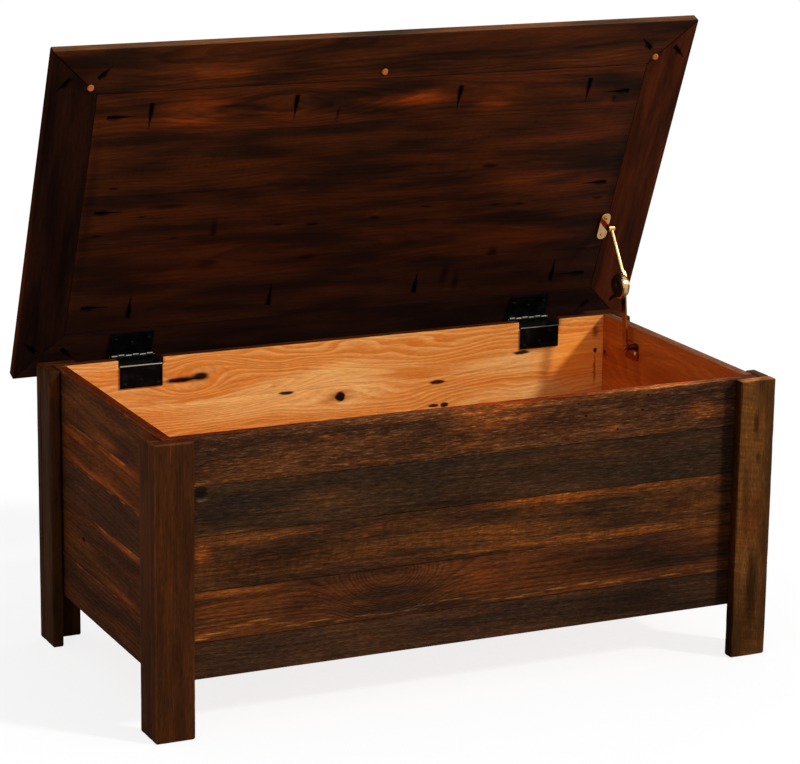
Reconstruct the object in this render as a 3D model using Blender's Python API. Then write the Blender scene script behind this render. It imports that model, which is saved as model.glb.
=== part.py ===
"""A rustic blanket chest: boarded walls between angle posts, and a framed lid that stands open on a stay.

All lengths are metres. X runs along the chest, Y from its front to its back and Z up. The lid is built
closed about its hinge axis and then turned open, so every piece of it hangs from one empty on that axis.
"""
import math

import bmesh
import bpy
from mathutils import Matrix, Vector

# Body
BODY_LENGTH = 1.054
BODY_DEPTH = 0.538
BODY_HEIGHT = 0.462
LEG_HEIGHT = 0.0857
WALL_BOARD = 0.0175
WALL_ARRIS = 0.0008
FRONT_SEAM_SHARES = (0.796, 0.589, 0.362, 0.152)
BACK_SEAM_SHARES = (0.787, 0.600, 0.400, 0.180)
LEFT_SEAM_SHARES = (0.794, 0.629, 0.443, 0.197)
RIGHT_SEAM_SHARES = (0.794, 0.590, 0.410, 0.170)

# Corner posts
POST_FACE_WIDTH = 0.0635
POST_SIDE_DEPTH = 0.066
POST_BOARD = 0.0206
POST_SIDE_BOARD = 0.0186
POST_ROUNDING = 0.0025

# Floor
FLOOR_BOARD = 0.012
CLEAT_HEIGHT = 0.020
CLEAT_DEPTH = 0.022

# Lid
LID_BOARD = 0.017
LID_ARRIS = 0.0012
PANEL_ARRIS = 0.0004
LID_SIDE_OVERHANG = 0.031
LID_FRONT_OVERHANG = 0.0305
LID_BACK_OVERHANG = 0.037
LID_FRAME_WIDTH = 0.079
LID_GAP = 0.0032
LID_SEAM_SHARES = (0.18, 0.42, 0.62, 0.81)
OPEN_ANGLE = math.radians(67.5)

# Pockets of the lid's screws
FRONT_POCKET_ENDS = (0.0918, 0.0996)
FRONT_POCKET_SHARES = (0.350, 0.649)
BACK_POCKET_ENDS = (0.1040, 0.0839)
BACK_POCKET_SHARES = (0.364, 0.641)
LEFT_POCKET_ENDS = (0.0430, 0.0482)
LEFT_POCKET_SHARES = (0.487,)
RIGHT_POCKET_ENDS = (0.0500, 0.0336)
RIGHT_POCKET_SHARES = (0.512,)
RAIL_MITRE_SHARE = 0.81
STILE_MITRE_SHARE = 0.515
POCKET_LENGTH = 0.047
MITRE_POCKET_LENGTH = 0.032
POCKET_RADIUS = 0.0047
POCKET_TAIL_RADIUS = 0.0008
POCKET_SETBACK = 0.021
RAIL_MITRE_SETBACK = 0.017
STILE_MITRE_SETBACK = 0.010
POCKET_DEPTH_SHARE = 0.45

# Bumpers
BUMPER_RADIUS = 0.0055
BUMPER_EDGE = 0.003
BUMPER_TAPER_SHARE = 0.8

# Butt hinges, cranked over the back wall
HINGE_WIDTH = 0.073
HINGE_CENTRE = 0.1646
HINGE_SETBACK = 0.006
BARREL_RADIUS = 0.0058
PIN_RADIUS = 0.0024
PIN_HEAD_RADIUS = 0.0040
PIN_HEAD_HEIGHT = 0.0016
PIN_HEAD_TAPER_SHARE = 0.8
LEAF_THICKNESS = 0.0024
BOX_LEAF_DROP = 0.0467
LID_LEAF_REACH = 0.0417
WEB_LAP = 0.002
NOTCH_SIDE_GAP = 0.002
KNUCKLES = 6

# Small wood screws of the stay
SCREW_LENGTH = 0.0125
SCREW_RADIUS = 0.0015
SCREW_HEAD_RADIUS = 0.0033
SCREW_HEAD_HEIGHT = 0.0012
SCREW_HEAD_TOP_SHARE = 0.7

# Lid stay
STAY_LID_REACH = 0.1825
STAY_LID_DROP = 0.0187
STAY_WALL_INSET = 0.1036
STAY_WALL_DROP = 0.0347
STAY_ELBOW_SHARE = 0.494
STAY_ELBOW_RISE = 0.0233
STAY_ROD_OFFSET = 0.0091
ROD_RADIUS = 0.0028
SOCKET_RADIUS = 0.0056
SOCKET_WIDTH = 0.007
ROD_EYE_RADIUS = 0.0085
ROD_BLOCK_WIDTH = 0.0115
ROD_BLOCK_LENGTH = 0.024
ARM_THICKNESS = 0.0026
ARM_WIDTH = 0.0135
ARM_END_SHARE = 0.6
ARM_DISC_RADIUS = 0.0185
DRUM_RADIUS = 0.0215
DRUM_WIDTH = 0.0105
DRUM_ROUNDING = 0.0020
DRUM_CAP_RADIUS = 0.0180
DRUM_CAP_WIDTH = 0.0025
DRUM_BOSS_RADIUS = 0.0045
DRUM_BOSS_HEIGHT = 0.0020
DRUM_BOSS_TAPER_SHARE = 0.8
PIVOT_RADIUS = 0.0024
PIVOT_BOSS_RADIUS = 0.0050
PIVOT_HEAD_RADIUS = 0.0045
PIVOT_HEAD_HEIGHT = 0.0017
PIVOT_HEAD_TAPER_SHARE = 0.8
BRACKET_THICKNESS = 0.0022
LID_BRACKET_LENGTH = 0.052
LID_BRACKET_WIDTH = 0.018
LID_BRACKET_SHIFT = 0.006
LID_BRACKET_SCREW_SPREAD = 0.0168
LUG_THICKNESS = 0.003
LUG_WIDTH = 0.012
WALL_BRACKET_LENGTH = 0.044
WALL_BRACKET_HEIGHT = 0.030
WALL_BRACKET_RAISE = 0.009
WALL_BRACKET_SCREW_SPREAD = 0.0145
WALL_BRACKET_SCREW_DROP = 0.0075
BRACKET_ROUNDING = 0.005

# Clearances
GAP = 0.0003
HINGE_CLEARANCE = 0.0004
PIN_CLEARANCE = 0.0002
STAY_CLEARANCE = 0.0005
OVERRUN = 0.004

# How finely curves are cut
CORNER_STEPS = 2
SMOOTH_ANGLE = math.radians(40.0)
BEVEL_ANGLE = math.radians(30.0)
SCREW_SIDES = 8
POCKET_SIDES = 8
PILOT_SIDES = 6
ROUND_SIDES = 16
DRUM_SIDES = 32

# Worked out from the sizes above
WALL_INSET = POST_BOARD + GAP
INNER_INSET = WALL_INSET + WALL_BOARD
INNER_HALF_LENGTH = BODY_LENGTH / 2 - INNER_INSET
UNDERSIDE = BARREL_RADIUS + HINGE_CLEARANCE + LEAF_THICKNESS + GAP
AXIS_Y = BODY_DEPTH + HINGE_SETBACK
AXIS_Z = BODY_HEIGHT + LID_GAP - UNDERSIDE
NOTCH_FLOOR = AXIS_Z - BARREL_RADIUS - GAP
LID_LENGTH = BODY_LENGTH + 2 * LID_SIDE_OVERHANG
LID_DEPTH = BODY_DEPTH + LID_FRONT_OVERHANG + LID_BACK_OVERHANG
LID_FRONT = -(AXIS_Y + LID_FRONT_OVERHANG)
LID_BACK = LID_FRONT + LID_DEPTH
LID_TOP = UNDERSIDE + LID_BOARD
BALL = Vector((-STAY_LID_REACH, UNDERSIDE - STAY_LID_DROP))
WALL_PIVOT_Y = BODY_DEPTH - INNER_INSET - STAY_WALL_INSET
WALL_PIVOT_Z = BODY_HEIGHT - STAY_WALL_DROP
WALL_PIVOT = Vector((WALL_PIVOT_Y - AXIS_Y, WALL_PIVOT_Z - AXIS_Z))
ROD_X = INNER_HALF_LENGTH - STAY_ROD_OFFSET
ARM_X = ROD_X - ROD_RADIUS - STAY_CLEARANCE
DRUM_X = ARM_X - ARM_THICKNESS - GAP
CAP_X = DRUM_X - DRUM_WIDTH - GAP
LUG_X = ROD_X - SOCKET_WIDTH / 2 - GAP


def turned_point(point, angle):
    """A point of the YZ plane, turned about the X axis."""
    y, z = point
    cosine, sine = math.cos(angle), math.sin(angle)
    return Vector((cosine * y - sine * z, sine * y + cosine * z))


def open_depth():
    """How far the opened lid's back edge lies behind the front of the body."""
    corners = ((LID_BACK, LID_TOP - LID_ARRIS), (LID_BACK - LID_ARRIS, LID_TOP))
    return AXIS_Y + max(turned_point(corner, -OPEN_ANGLE).x for corner in corners)


def open_elbow():
    """The elbow of the opened stay, ahead of the straight line from its ball to its wall pivot."""
    ball = turned_point(BALL, -OPEN_ANGLE)
    line = WALL_PIVOT - ball
    across = Vector((line.y, -line.x)).normalized()
    return ball + line * STAY_ELBOW_SHARE + across * STAY_ELBOW_RISE


def stay_lengths():
    """The length of the rod, from ball to elbow, and of the arm, from elbow to wall pivot."""
    elbow = open_elbow()
    return (elbow - turned_point(BALL, -OPEN_ANGLE)).length, (elbow - WALL_PIVOT).length


# Helpers


def clear_scene():
    for item in list(bpy.data.objects):
        bpy.data.objects.remove(item, do_unlink=True)


def finish(name, colour, roughness, metallic=0.0):
    made = bpy.data.materials.new(name)
    made.use_nodes = True
    shader = made.node_tree.nodes["Principled BSDF"]
    shader.inputs["Base Color"].default_value = (*colour, 1.0)
    shader.inputs["Roughness"].default_value = roughness
    shader.inputs["Metallic"].default_value = metallic
    return made


def empty(name, place, parent=None, angle=0.0):
    made = bpy.data.objects.new(name, None)
    bpy.context.scene.collection.objects.link(made)
    made.location = place
    made.rotation_euler = (angle, 0.0, 0.0)
    made.parent = parent
    return made


def place_mesh(name, shape, look, parent, place=(0.0, 0.0, 0.0), smooth=False):
    """Closes a bmesh into an object under its parent."""
    bmesh.ops.recalc_face_normals(shape, faces=shape.faces)
    mesh = bpy.data.meshes.new(name)
    shape.to_mesh(mesh)
    shape.free()
    if look:
        mesh.materials.append(look)
    if smooth:
        mesh.shade_smooth()
        mesh.set_sharp_from_angle(angle=SMOOTH_ANGLE)
    made = bpy.data.objects.new(name, mesh)
    bpy.context.scene.collection.objects.link(made)
    made.location = place
    made.parent = parent
    return made


def helper(name, shape, parent, place=(0.0, 0.0, 0.0)):
    """A cutter, or a shape to be joined on, which is no piece of its own."""
    made = place_mesh(name, shape, None, parent, place)
    made.hide_render = True
    made.display_type = "WIRE"
    return made


def boolean(target, other, operation="DIFFERENCE"):
    step = target.modifiers.new(other.name, "BOOLEAN")
    step.operation = operation
    step.solver = "EXACT"
    step.object = other


def bevel(target, width, segments=1):
    step = target.modifiers.new("Bevel", "BEVEL")
    step.width = width
    step.segments = segments
    step.limit_method = "ANGLE"
    step.angle_limit = BEVEL_ANGLE


def add_prism(shape, outline, low, high, axis="Z"):
    """Adds a closed outline, pulled along Z, or along X where its points are pairs of Y and Z."""
    def corner(point, level):
        u, v = point
        if axis == "X":
            return level, u, v
        return u, v, level

    lower = [shape.verts.new(corner(point, low)) for point in outline]
    upper = [shape.verts.new(corner(point, high)) for point in outline]
    shape.faces.new(lower)
    shape.faces.new(upper)
    for index in range(len(outline)):
        following = (index + 1) % len(outline)
        shape.faces.new((lower[index], lower[following], upper[following], upper[index]))


def add_block(shape, low, high):
    add_prism(shape, rectangle(low, high), low[2], high[2])


def add_turned(shape, profile, sides, matrix=None):
    """Adds a turned body: the profile holds pairs of distance along local X and radius."""
    matrix = matrix or Matrix.Identity(4)
    rings = []
    for distance, radius in profile:
        if radius == 0.0:
            rings.append([shape.verts.new(matrix @ Vector((distance, 0.0, 0.0)))])
            continue
        turns = [2 * math.pi * (side + 0.5) / sides for side in range(sides)]
        ring = [Vector((distance, radius * math.cos(turn), radius * math.sin(turn))) for turn in turns]
        rings.append([shape.verts.new(matrix @ point) for point in ring])
    for ring, after in zip(rings, rings[1:]):
        for side in range(sides):
            following = (side + 1) % sides
            if len(ring) == 1:
                shape.faces.new((ring[0], after[following], after[side]))
            elif len(after) == 1:
                shape.faces.new((ring[side], ring[following], after[0]))
            else:
                shape.faces.new((ring[side], ring[following], after[following], after[side]))


def along(place, direction):
    """A matrix that carries local +X onto a direction, from a place."""
    return Matrix.Translation(place) @ Vector(direction).to_track_quat("X", "Z").to_matrix().to_4x4()


def arc(centre, radius, start, end, steps):
    return [
        (
            centre[0] + radius * math.cos(start + (end - start) * step / steps),
            centre[1] + radius * math.sin(start + (end - start) * step / steps),
        )
        for step in range(steps + 1)
    ]


def rounded(outline, radius, steps=CORNER_STEPS):
    """The same outline with each corner turned on a radius."""
    result = []
    count = len(outline)
    for index, corner in enumerate(outline):
        corner = Vector(corner)
        before = (Vector(outline[index - 1]) - corner).normalized()
        after = (Vector(outline[(index + 1) % count]) - corner).normalized()
        half = before.angle(after) / 2
        first = corner + before * radius / math.tan(half)
        centre = corner + (before + after).normalized() * radius / math.sin(half)
        last = corner + after * radius / math.tan(half)
        for step in range(steps + 1):
            share = step / steps
            ray = (first - centre).lerp(last - centre, share).normalized()
            result.append(tuple(centre + ray * radius))
    return result


def rectangle(low, high):
    return [(low[0], low[1]), (high[0], low[1]), (high[0], high[1]), (low[0], high[1])]


def lollipop(length, half_width, disc_radius, start_radius, steps):
    """A bar along the first axis with a round start at zero and a disc at its far end."""
    start_turn = math.asin(half_width / start_radius)
    disc_turn = math.asin(half_width / disc_radius)
    points = arc((0.0, 0.0), start_radius, start_turn, 2 * math.pi - start_turn, steps)
    points += arc((length, 0.0), disc_radius, disc_turn - math.pi, math.pi - disc_turn, steps)
    return points


# Body


def make_posts(chest, look):
    """Each post is two boards, a wide one on the face and a narrower one behind its edge."""
    half = BODY_LENGTH / 2
    face = rounded(rectangle((0.0, 0.0), (POST_FACE_WIDTH, POST_BOARD)), POST_ROUNDING)
    side = rounded(rectangle((0.0, POST_BOARD + GAP), (POST_SIDE_BOARD, POST_SIDE_DEPTH)), POST_ROUNDING)
    for along_name, x_sign in (("left", 1), ("right", -1)):
        for depth_name, y_sign in (("front", 1), ("back", -1)):
            corner = (-x_sign * half, 0.0 if y_sign > 0 else BODY_DEPTH)
            for board_name, outline in (("face", face), ("side", side)):
                shape = bmesh.new()
                mirrored = [(corner[0] + x_sign * x, corner[1] + y_sign * y) for x, y in outline]
                add_prism(shape, mirrored, 0.0, BODY_HEIGHT)
                place_mesh(f"post_{depth_name}_{along_name}_{board_name}", shape, look, chest)


def levels(shares):
    """The heights of a wall's seams, from the rim down to the lowest edge."""
    height = BODY_HEIGHT - LEG_HEIGHT
    return [BODY_HEIGHT] + [LEG_HEIGHT + share * height for share in shares] + [LEG_HEIGHT]


def make_wall(name, low, high, shares, chest, look):
    """Boards on edge, one above the other, between two plan corners. Returns them from the top."""
    heights = levels(shares)
    boards = []
    for index, (upper, lower) in enumerate(zip(heights, heights[1:])):
        top = upper - (GAP / 2 if index else 0.0)
        bottom = lower + (GAP / 2 if index < len(shares) else 0.0)
        middle = Vector(((low[0] + high[0]) / 2, (low[1] + high[1]) / 2, (top + bottom) / 2))
        shape = bmesh.new()
        add_block(shape, Vector((*low, bottom)) - middle, Vector((*high, top)) - middle)
        board = place_mesh(f"{name}_board_{index + 1}", shape, look, chest, middle)
        bevel(board, WALL_ARRIS)
        boards.append(board)
    return boards


def make_walls(chest, look):
    half = BODY_LENGTH / 2
    end_low = INNER_INSET + GAP
    end_high = BODY_DEPTH - INNER_INSET - GAP
    reach = half - WALL_INSET
    front_low, front_high = (-reach, WALL_INSET), (reach, INNER_INSET)
    back_low, back_high = (-reach, BODY_DEPTH - INNER_INSET), (reach, BODY_DEPTH - WALL_INSET)
    left_low, left_high = (-reach, end_low), (-reach + WALL_BOARD, end_high)
    right_low, right_high = (reach - WALL_BOARD, end_low), (reach, end_high)
    walls = {
        "front": make_wall("front", front_low, front_high, FRONT_SEAM_SHARES, chest, look),
        "back": make_wall("back", back_low, back_high, BACK_SEAM_SHARES, chest, look),
        "left": make_wall("left_end", left_low, left_high, LEFT_SEAM_SHARES, chest, look),
        "right": make_wall("right_end", right_low, right_high, RIGHT_SEAM_SHARES, chest, look),
    }
    cut_notches(walls["back"][0], chest)
    return walls


def cut_notches(board, chest):
    """Lets the hinge leaves into the rim of the back wall."""
    shape = bmesh.new()
    half_notch = HINGE_WIDTH / 2 + NOTCH_SIDE_GAP
    for centre in hinge_centres():
        low = (centre - half_notch, BODY_DEPTH - INNER_INSET - OVERRUN, NOTCH_FLOOR)
        high = (centre + half_notch, BODY_DEPTH - WALL_INSET + OVERRUN, BODY_HEIGHT + OVERRUN)
        add_block(shape, low, high)
    boolean(board, helper("cut_notches", shape, chest))


def make_floor(chest, floor_look, cleat_look):
    """A panel laid on a cleat along the foot of the front and of the back wall."""
    reach = INNER_HALF_LENGTH - GAP
    front, back = INNER_INSET + GAP, BODY_DEPTH - INNER_INSET - GAP
    cleat_top = LEG_HEIGHT + CLEAT_HEIGHT
    rows = (("front", front, front + CLEAT_DEPTH), ("back", back - CLEAT_DEPTH, back))
    for name, low_y, high_y in rows:
        shape = bmesh.new()
        add_block(shape, (-reach, low_y, LEG_HEIGHT), (reach, high_y, cleat_top))
        bevel(place_mesh(f"floor_cleat_{name}", shape, cleat_look, chest), WALL_ARRIS)
    shape = bmesh.new()
    floor_low = cleat_top + GAP
    add_block(shape, (-reach, front, floor_low), (reach, back, floor_low + FLOOR_BOARD))
    bevel(place_mesh("floor_panel", shape, floor_look, chest), WALL_ARRIS)


# Lid


def make_lid_frame(lid, look):
    """Rails and stiles meet on mitres, with a fine gap along each mitre."""
    half = LID_LENGTH / 2
    width = LID_FRAME_WIDTH
    slip = GAP * math.sqrt(2)
    rail = [(-half, 0.0), (half, 0.0), (half - width, width), (width - half, width)]
    far = LID_DEPTH - slip
    stile = [(0.0, slip), (width, width + slip), (width, far - width), (0.0, far)]
    outlines = {
        "lid_rail_front": [(x, LID_FRONT + y) for x, y in rail],
        "lid_rail_back": [(x, LID_BACK - y) for x, y in rail],
        "lid_stile_left": [(x - half, LID_FRONT + y) for x, y in stile],
        "lid_stile_right": [(half - x, LID_FRONT + y) for x, y in stile],
    }
    boards = []
    for name, outline in outlines.items():
        shape = bmesh.new()
        add_prism(shape, outline, UNDERSIDE, LID_TOP)
        boards.append(place_mesh(name, shape, look, lid))
        bevel(boards[-1], LID_ARRIS)
    return boards


def make_lid_panel(lid, look):
    """Boards side by side, running the length of the lid inside its frame."""
    reach = LID_LENGTH / 2 - LID_FRAME_WIDTH - GAP
    front = LID_FRONT + LID_FRAME_WIDTH + GAP
    depth = LID_DEPTH - 2 * (LID_FRAME_WIDTH + GAP)
    edges = [front] + [front + share * depth for share in LID_SEAM_SHARES] + [front + depth]
    boards = []
    for index, (low, high) in enumerate(zip(edges, edges[1:])):
        low += GAP / 2 if index else 0.0
        high -= GAP / 2 if index < len(LID_SEAM_SHARES) else 0.0
        shape = bmesh.new()
        add_block(shape, (-reach, low, UNDERSIDE), (reach, high, LID_TOP))
        boards.append(place_mesh(f"lid_panel_board_{index + 1}", shape, look, lid))
        bevel(boards[-1], PANEL_ARRIS)
    return boards


def pocket_row(ends, shares, length):
    """How far each pocket of one side lies along it: the outer ones keep off the frame's corners."""
    return [ends[0], *(share * length for share in shares), length - ends[1]]


def pocket_places():
    """Each pocket: the plan place of its deep end, the way its screw is driven, and its length."""
    half = LID_LENGTH / 2
    left, right = LID_FRAME_WIDTH - half, half - LID_FRAME_WIDTH
    front, back = LID_FRONT + LID_FRAME_WIDTH, LID_BACK - LID_FRAME_WIDTH
    places = []
    for reach in pocket_row(FRONT_POCKET_ENDS, FRONT_POCKET_SHARES, right - left):
        places.append((Vector((left + reach, front + POCKET_SETBACK)), Vector((0, -1)), POCKET_LENGTH))
    for reach in pocket_row(BACK_POCKET_ENDS, BACK_POCKET_SHARES, right - left):
        places.append((Vector((left + reach, back - POCKET_SETBACK)), Vector((0, 1)), POCKET_LENGTH))
    for reach in pocket_row(LEFT_POCKET_ENDS, LEFT_POCKET_SHARES, back - front):
        places.append((Vector((left + POCKET_SETBACK, front + reach)), Vector((-1, 0)), POCKET_LENGTH))
    for reach in pocket_row(RIGHT_POCKET_ENDS, RIGHT_POCKET_SHARES, back - front):
        places.append((Vector((right - POCKET_SETBACK, front + reach)), Vector((1, 0)), POCKET_LENGTH))
    for x_sign in (-1, 1):
        for y_sign, edge in ((-1, LID_FRONT), (1, LID_BACK)):
            inward = Vector((-x_sign, -y_sign))
            corner = Vector((x_sign * half, edge))
            way = Vector((x_sign, -y_sign)).normalized()
            mitre = inward * LID_FRAME_WIDTH
            rail_seat = corner + mitre * RAIL_MITRE_SHARE - way * RAIL_MITRE_SETBACK
            stile_seat = corner + mitre * STILE_MITRE_SHARE + way * STILE_MITRE_SETBACK
            places.append((rail_seat, way, MITRE_POCKET_LENGTH))
            places.append((stile_seat, -way, MITRE_POCKET_LENGTH))
    return places


def cut_pockets(lid, boards):
    """Cuts the pockets: long tapers that run in along the underside to their deep end."""
    shape = bmesh.new()
    for place, way, length in pocket_places():
        deep_end = Vector((*place, UNDERSIDE + POCKET_RADIUS * POCKET_DEPTH_SHARE))
        tail = Vector((*(place - way * length), UNDERSIDE))
        cone = ((0.0, 0.0), (0.0, POCKET_RADIUS), (length, POCKET_TAIL_RADIUS), (length, 0.0))
        add_turned(shape, cone, POCKET_SIDES, along(deep_end, tail - deep_end))
    cutter = helper("cut_pockets", shape, lid)
    for board in boards:
        boolean(board, cutter)


def make_bumpers(lid, look):
    """Three soft pads at the front of the underside, which meet the rim when the lid is down."""
    inset = INNER_INSET - BUMPER_EDGE
    reach = BODY_LENGTH / 2 - inset
    thickness = LID_GAP - 2 * GAP
    profile = (
        (0.0, 0.0), (0.0, BUMPER_RADIUS),
        (thickness, BUMPER_RADIUS * BUMPER_TAPER_SHARE), (thickness, 0.0),
    )
    for name, x in (("left", -reach), ("middle", 0.0), ("right", reach)):
        shape = bmesh.new()
        add_turned(shape, profile, ROUND_SIDES, along((0, 0, 0), (0, 0, -1)))
        place = (x, inset - AXIS_Y, UNDERSIDE - GAP)
        place_mesh(f"lid_bumper_{name}", shape, look, lid, place, smooth=True)


# Hinges


def hinge_centres():
    reach = BODY_LENGTH / 2 - HINGE_CENTRE
    return -reach, reach


def knuckle_spans(first):
    """The X spans of every second knuckle of a hinge, about the hinge's middle."""
    width = (HINGE_WIDTH - (KNUCKLES - 1) * GAP) / KNUCKLES
    for index in range(first, KNUCKLES, 2):
        low = -HINGE_WIDTH / 2 + index * (width + GAP)
        yield low, low + width


def make_hinges(chest, lid, look):
    """Two butt hinges: one leaf bends down inside the back wall, the other lies under the lid."""
    radius = BARREL_RADIUS
    inner_face = BODY_DEPTH - INNER_INSET - AXIS_Y - GAP
    leaf_foot = BODY_HEIGHT - BOX_LEAF_DROP - AXIS_Z
    relief = -radius - HINGE_CLEARANCE - GAP
    box_section = [
        (relief, -radius), (relief, LEAF_THICKNESS - radius),
        *arc((inner_face, -radius), LEAF_THICKNESS, math.pi / 2, math.pi, CORNER_STEPS * 2),
        (inner_face - LEAF_THICKNESS, leaf_foot), (inner_face, leaf_foot), (inner_face, -radius),
    ]
    lap = relief - WEB_LAP
    lip = math.asin((radius - LEAF_THICKNESS) / radius)
    box_knuckle = [
        (lap, LEAF_THICKNESS - radius), (lap, -radius),
        *arc((0.0, 0.0), radius, -math.pi / 2, math.pi + lip, ROUND_SIDES),
    ]
    lid_leaf_low = UNDERSIDE - GAP - LEAF_THICKNESS
    web_top = lid_leaf_low + LEAF_THICKNESS / 2
    lid_section = [
        (-LID_LEAF_REACH, lid_leaf_low), (radius / 2, lid_leaf_low),
        (radius / 2, UNDERSIDE - GAP), (-LID_LEAF_REACH, UNDERSIDE - GAP),
    ]
    lid_knuckle = [
        (-radius, web_top),
        *arc((0.0, 0.0), radius, math.pi, 2 * math.pi + math.pi / 3, ROUND_SIDES),
        (radius / 2, web_top),
    ]
    axis = Vector((0.0, AXIS_Y, AXIS_Z))
    half = HINGE_WIDTH / 2
    for side, centre in zip(("left", "right"), hinge_centres()):
        middle = Vector((centre, 0.0, 0.0))
        for kind, section, knuckle, first, parent, place in (
            ("box", box_section, box_knuckle, 1, chest, axis + middle),
            ("lid", lid_section, lid_knuckle, 0, lid, middle),
        ):
            shape, knuckles, bore = bmesh.new(), bmesh.new(), bmesh.new()
            add_prism(shape, section, -half, half, "X")
            for low, high in knuckle_spans(first):
                add_prism(knuckles, knuckle, low, high, "X")
            bore_profile = (
                (-half - OVERRUN, 0.0), (-half - OVERRUN, PIN_RADIUS + PIN_CLEARANCE),
                (half + OVERRUN, PIN_RADIUS + PIN_CLEARANCE), (half + OVERRUN, 0.0),
            )
            add_turned(bore, bore_profile, ROUND_SIDES)
            leaf = place_mesh(f"hinge_{side}_{kind}_leaf", shape, look, parent, place)
            boolean(leaf, helper(f"join_{side}_{kind}_knuckles", knuckles, parent, place), "UNION")
            boolean(leaf, helper(f"cut_{side}_{kind}_bore", bore, parent, place))
        make_pin(f"hinge_{side}_pin", chest, axis + middle, look)


def make_pin(name, chest, place, look):
    half = HINGE_WIDTH / 2 + GAP
    shape = bmesh.new()
    add_turned(shape, (
        (-half - PIN_HEAD_HEIGHT, 0.0),
        (-half - PIN_HEAD_HEIGHT, PIN_HEAD_RADIUS * PIN_HEAD_TAPER_SHARE),
        (-half, PIN_HEAD_RADIUS),
        (-half, PIN_RADIUS),
        (half, PIN_RADIUS),
        (half, PIN_HEAD_RADIUS),
        (half + PIN_HEAD_HEIGHT, PIN_HEAD_RADIUS * PIN_HEAD_TAPER_SHARE),
        (half + PIN_HEAD_HEIGHT, 0.0),
    ), ROUND_SIDES)
    place_mesh(name, shape, look, chest, place, smooth=True)


# Lid stay


def screw_profile(length, radius, head_radius, head_height):
    """A screw whose head's underside is at zero and whose point lies along +X."""
    return (
        (-head_height, 0.0),
        (-head_height, head_radius * SCREW_HEAD_TOP_SHARE),
        (-head_height / 2, head_radius),
        (0.0, head_radius),
        (0.0, radius),
        (length - 2 * radius, radius),
        (length, 0.0),
    )


def add_screws(name, places, way, targets, parent, look):
    """Sets small wood screws on a surface, and drills the pieces that they go through."""
    pilots = bmesh.new()
    for side, place in places.items():
        shape = bmesh.new()
        add_turned(shape, screw_profile(
            SCREW_LENGTH, SCREW_RADIUS, SCREW_HEAD_RADIUS, SCREW_HEAD_HEIGHT,
        ), SCREW_SIDES, along((0, 0, 0), way))
        place_mesh(f"{name}_{side}", shape, look, parent, place)
        add_turned(pilots, (
            (-OVERRUN, 0.0),
            (-OVERRUN, SCREW_RADIUS + GAP),
            (SCREW_LENGTH + GAP, SCREW_RADIUS + GAP),
            (SCREW_LENGTH + GAP, 0.0),
        ), PILOT_SIDES, along(place, way))
    cutter = helper(f"cut_{name}_pilots", pilots, parent)
    for target in targets:
        boolean(target, cutter)


def make_stay(chest, lid, walls, lid_boards, chrome, black):
    axis = Vector((0.0, AXIS_Y, AXIS_Z))
    make_lid_bracket(lid, lid_boards, chrome)
    make_wall_bracket(chest, walls["right"][0], chrome)
    elbow = open_elbow()
    ball = turned_point(BALL, -OPEN_ANGLE)
    rod_length, arm_length = stay_lengths()
    rod_line, arm_line = elbow - ball, elbow - WALL_PIVOT
    rod_angle = math.atan2(rod_line.y, rod_line.x)
    arm_angle = math.atan2(arm_line.y, arm_line.x)
    rod_pivot = empty("stay_rod_pivot", axis + Vector((ROD_X, *ball)), chest, rod_angle)
    arm_pivot = empty("stay_arm_pivot", axis + Vector((0.0, *WALL_PIVOT)), chest, arm_angle)
    make_rod(rod_pivot, rod_length, chrome)
    make_arm(arm_pivot, arm_length, chrome, black)


def make_rod(pivot, length, look):
    """The rod runs along local +Y, from its socket on the lid's bracket to its eye at the elbow."""
    shape, ends, bore = bmesh.new(), bmesh.new(), bmesh.new()
    block_start = length - ROD_BLOCK_LENGTH
    rod_end = block_start + ROD_RADIUS
    add_turned(shape, (
        (SOCKET_RADIUS / 2, 0.0), (SOCKET_RADIUS / 2, ROD_RADIUS), (rod_end, ROD_RADIUS), (rod_end, 0.0),
    ), SCREW_SIDES, along((0, 0, 0), (0, 1, 0)))
    half = SOCKET_WIDTH / 2
    add_turned(ends, (
        (-half, 0.0), (-half, SOCKET_RADIUS), (half, SOCKET_RADIUS), (half, 0.0),
    ), ROUND_SIDES)
    half_block = ROD_BLOCK_WIDTH / 2
    turn = math.asin(half_block / ROD_EYE_RADIUS)
    eye = [(block_start, half_block), (block_start, -half_block)]
    eye += arc((length, 0.0), ROD_EYE_RADIUS, turn - math.pi, math.pi - turn, ROUND_SIDES)
    add_prism(ends, eye, -ROD_RADIUS, ROD_RADIUS, "X")
    add_turned(bore, (
        (-SOCKET_WIDTH, 0.0), (-SOCKET_WIDTH, PIVOT_RADIUS + PIN_CLEARANCE),
        (SOCKET_WIDTH, PIVOT_RADIUS + PIN_CLEARANCE), (SOCKET_WIDTH, 0.0),
    ), ROUND_SIDES)
    rod = place_mesh("stay_rod", shape, look, pivot, smooth=True)
    boolean(rod, helper("join_rod_ends", ends, pivot), "UNION")
    boolean(rod, helper("cut_rod_bore", bore, pivot))


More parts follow.
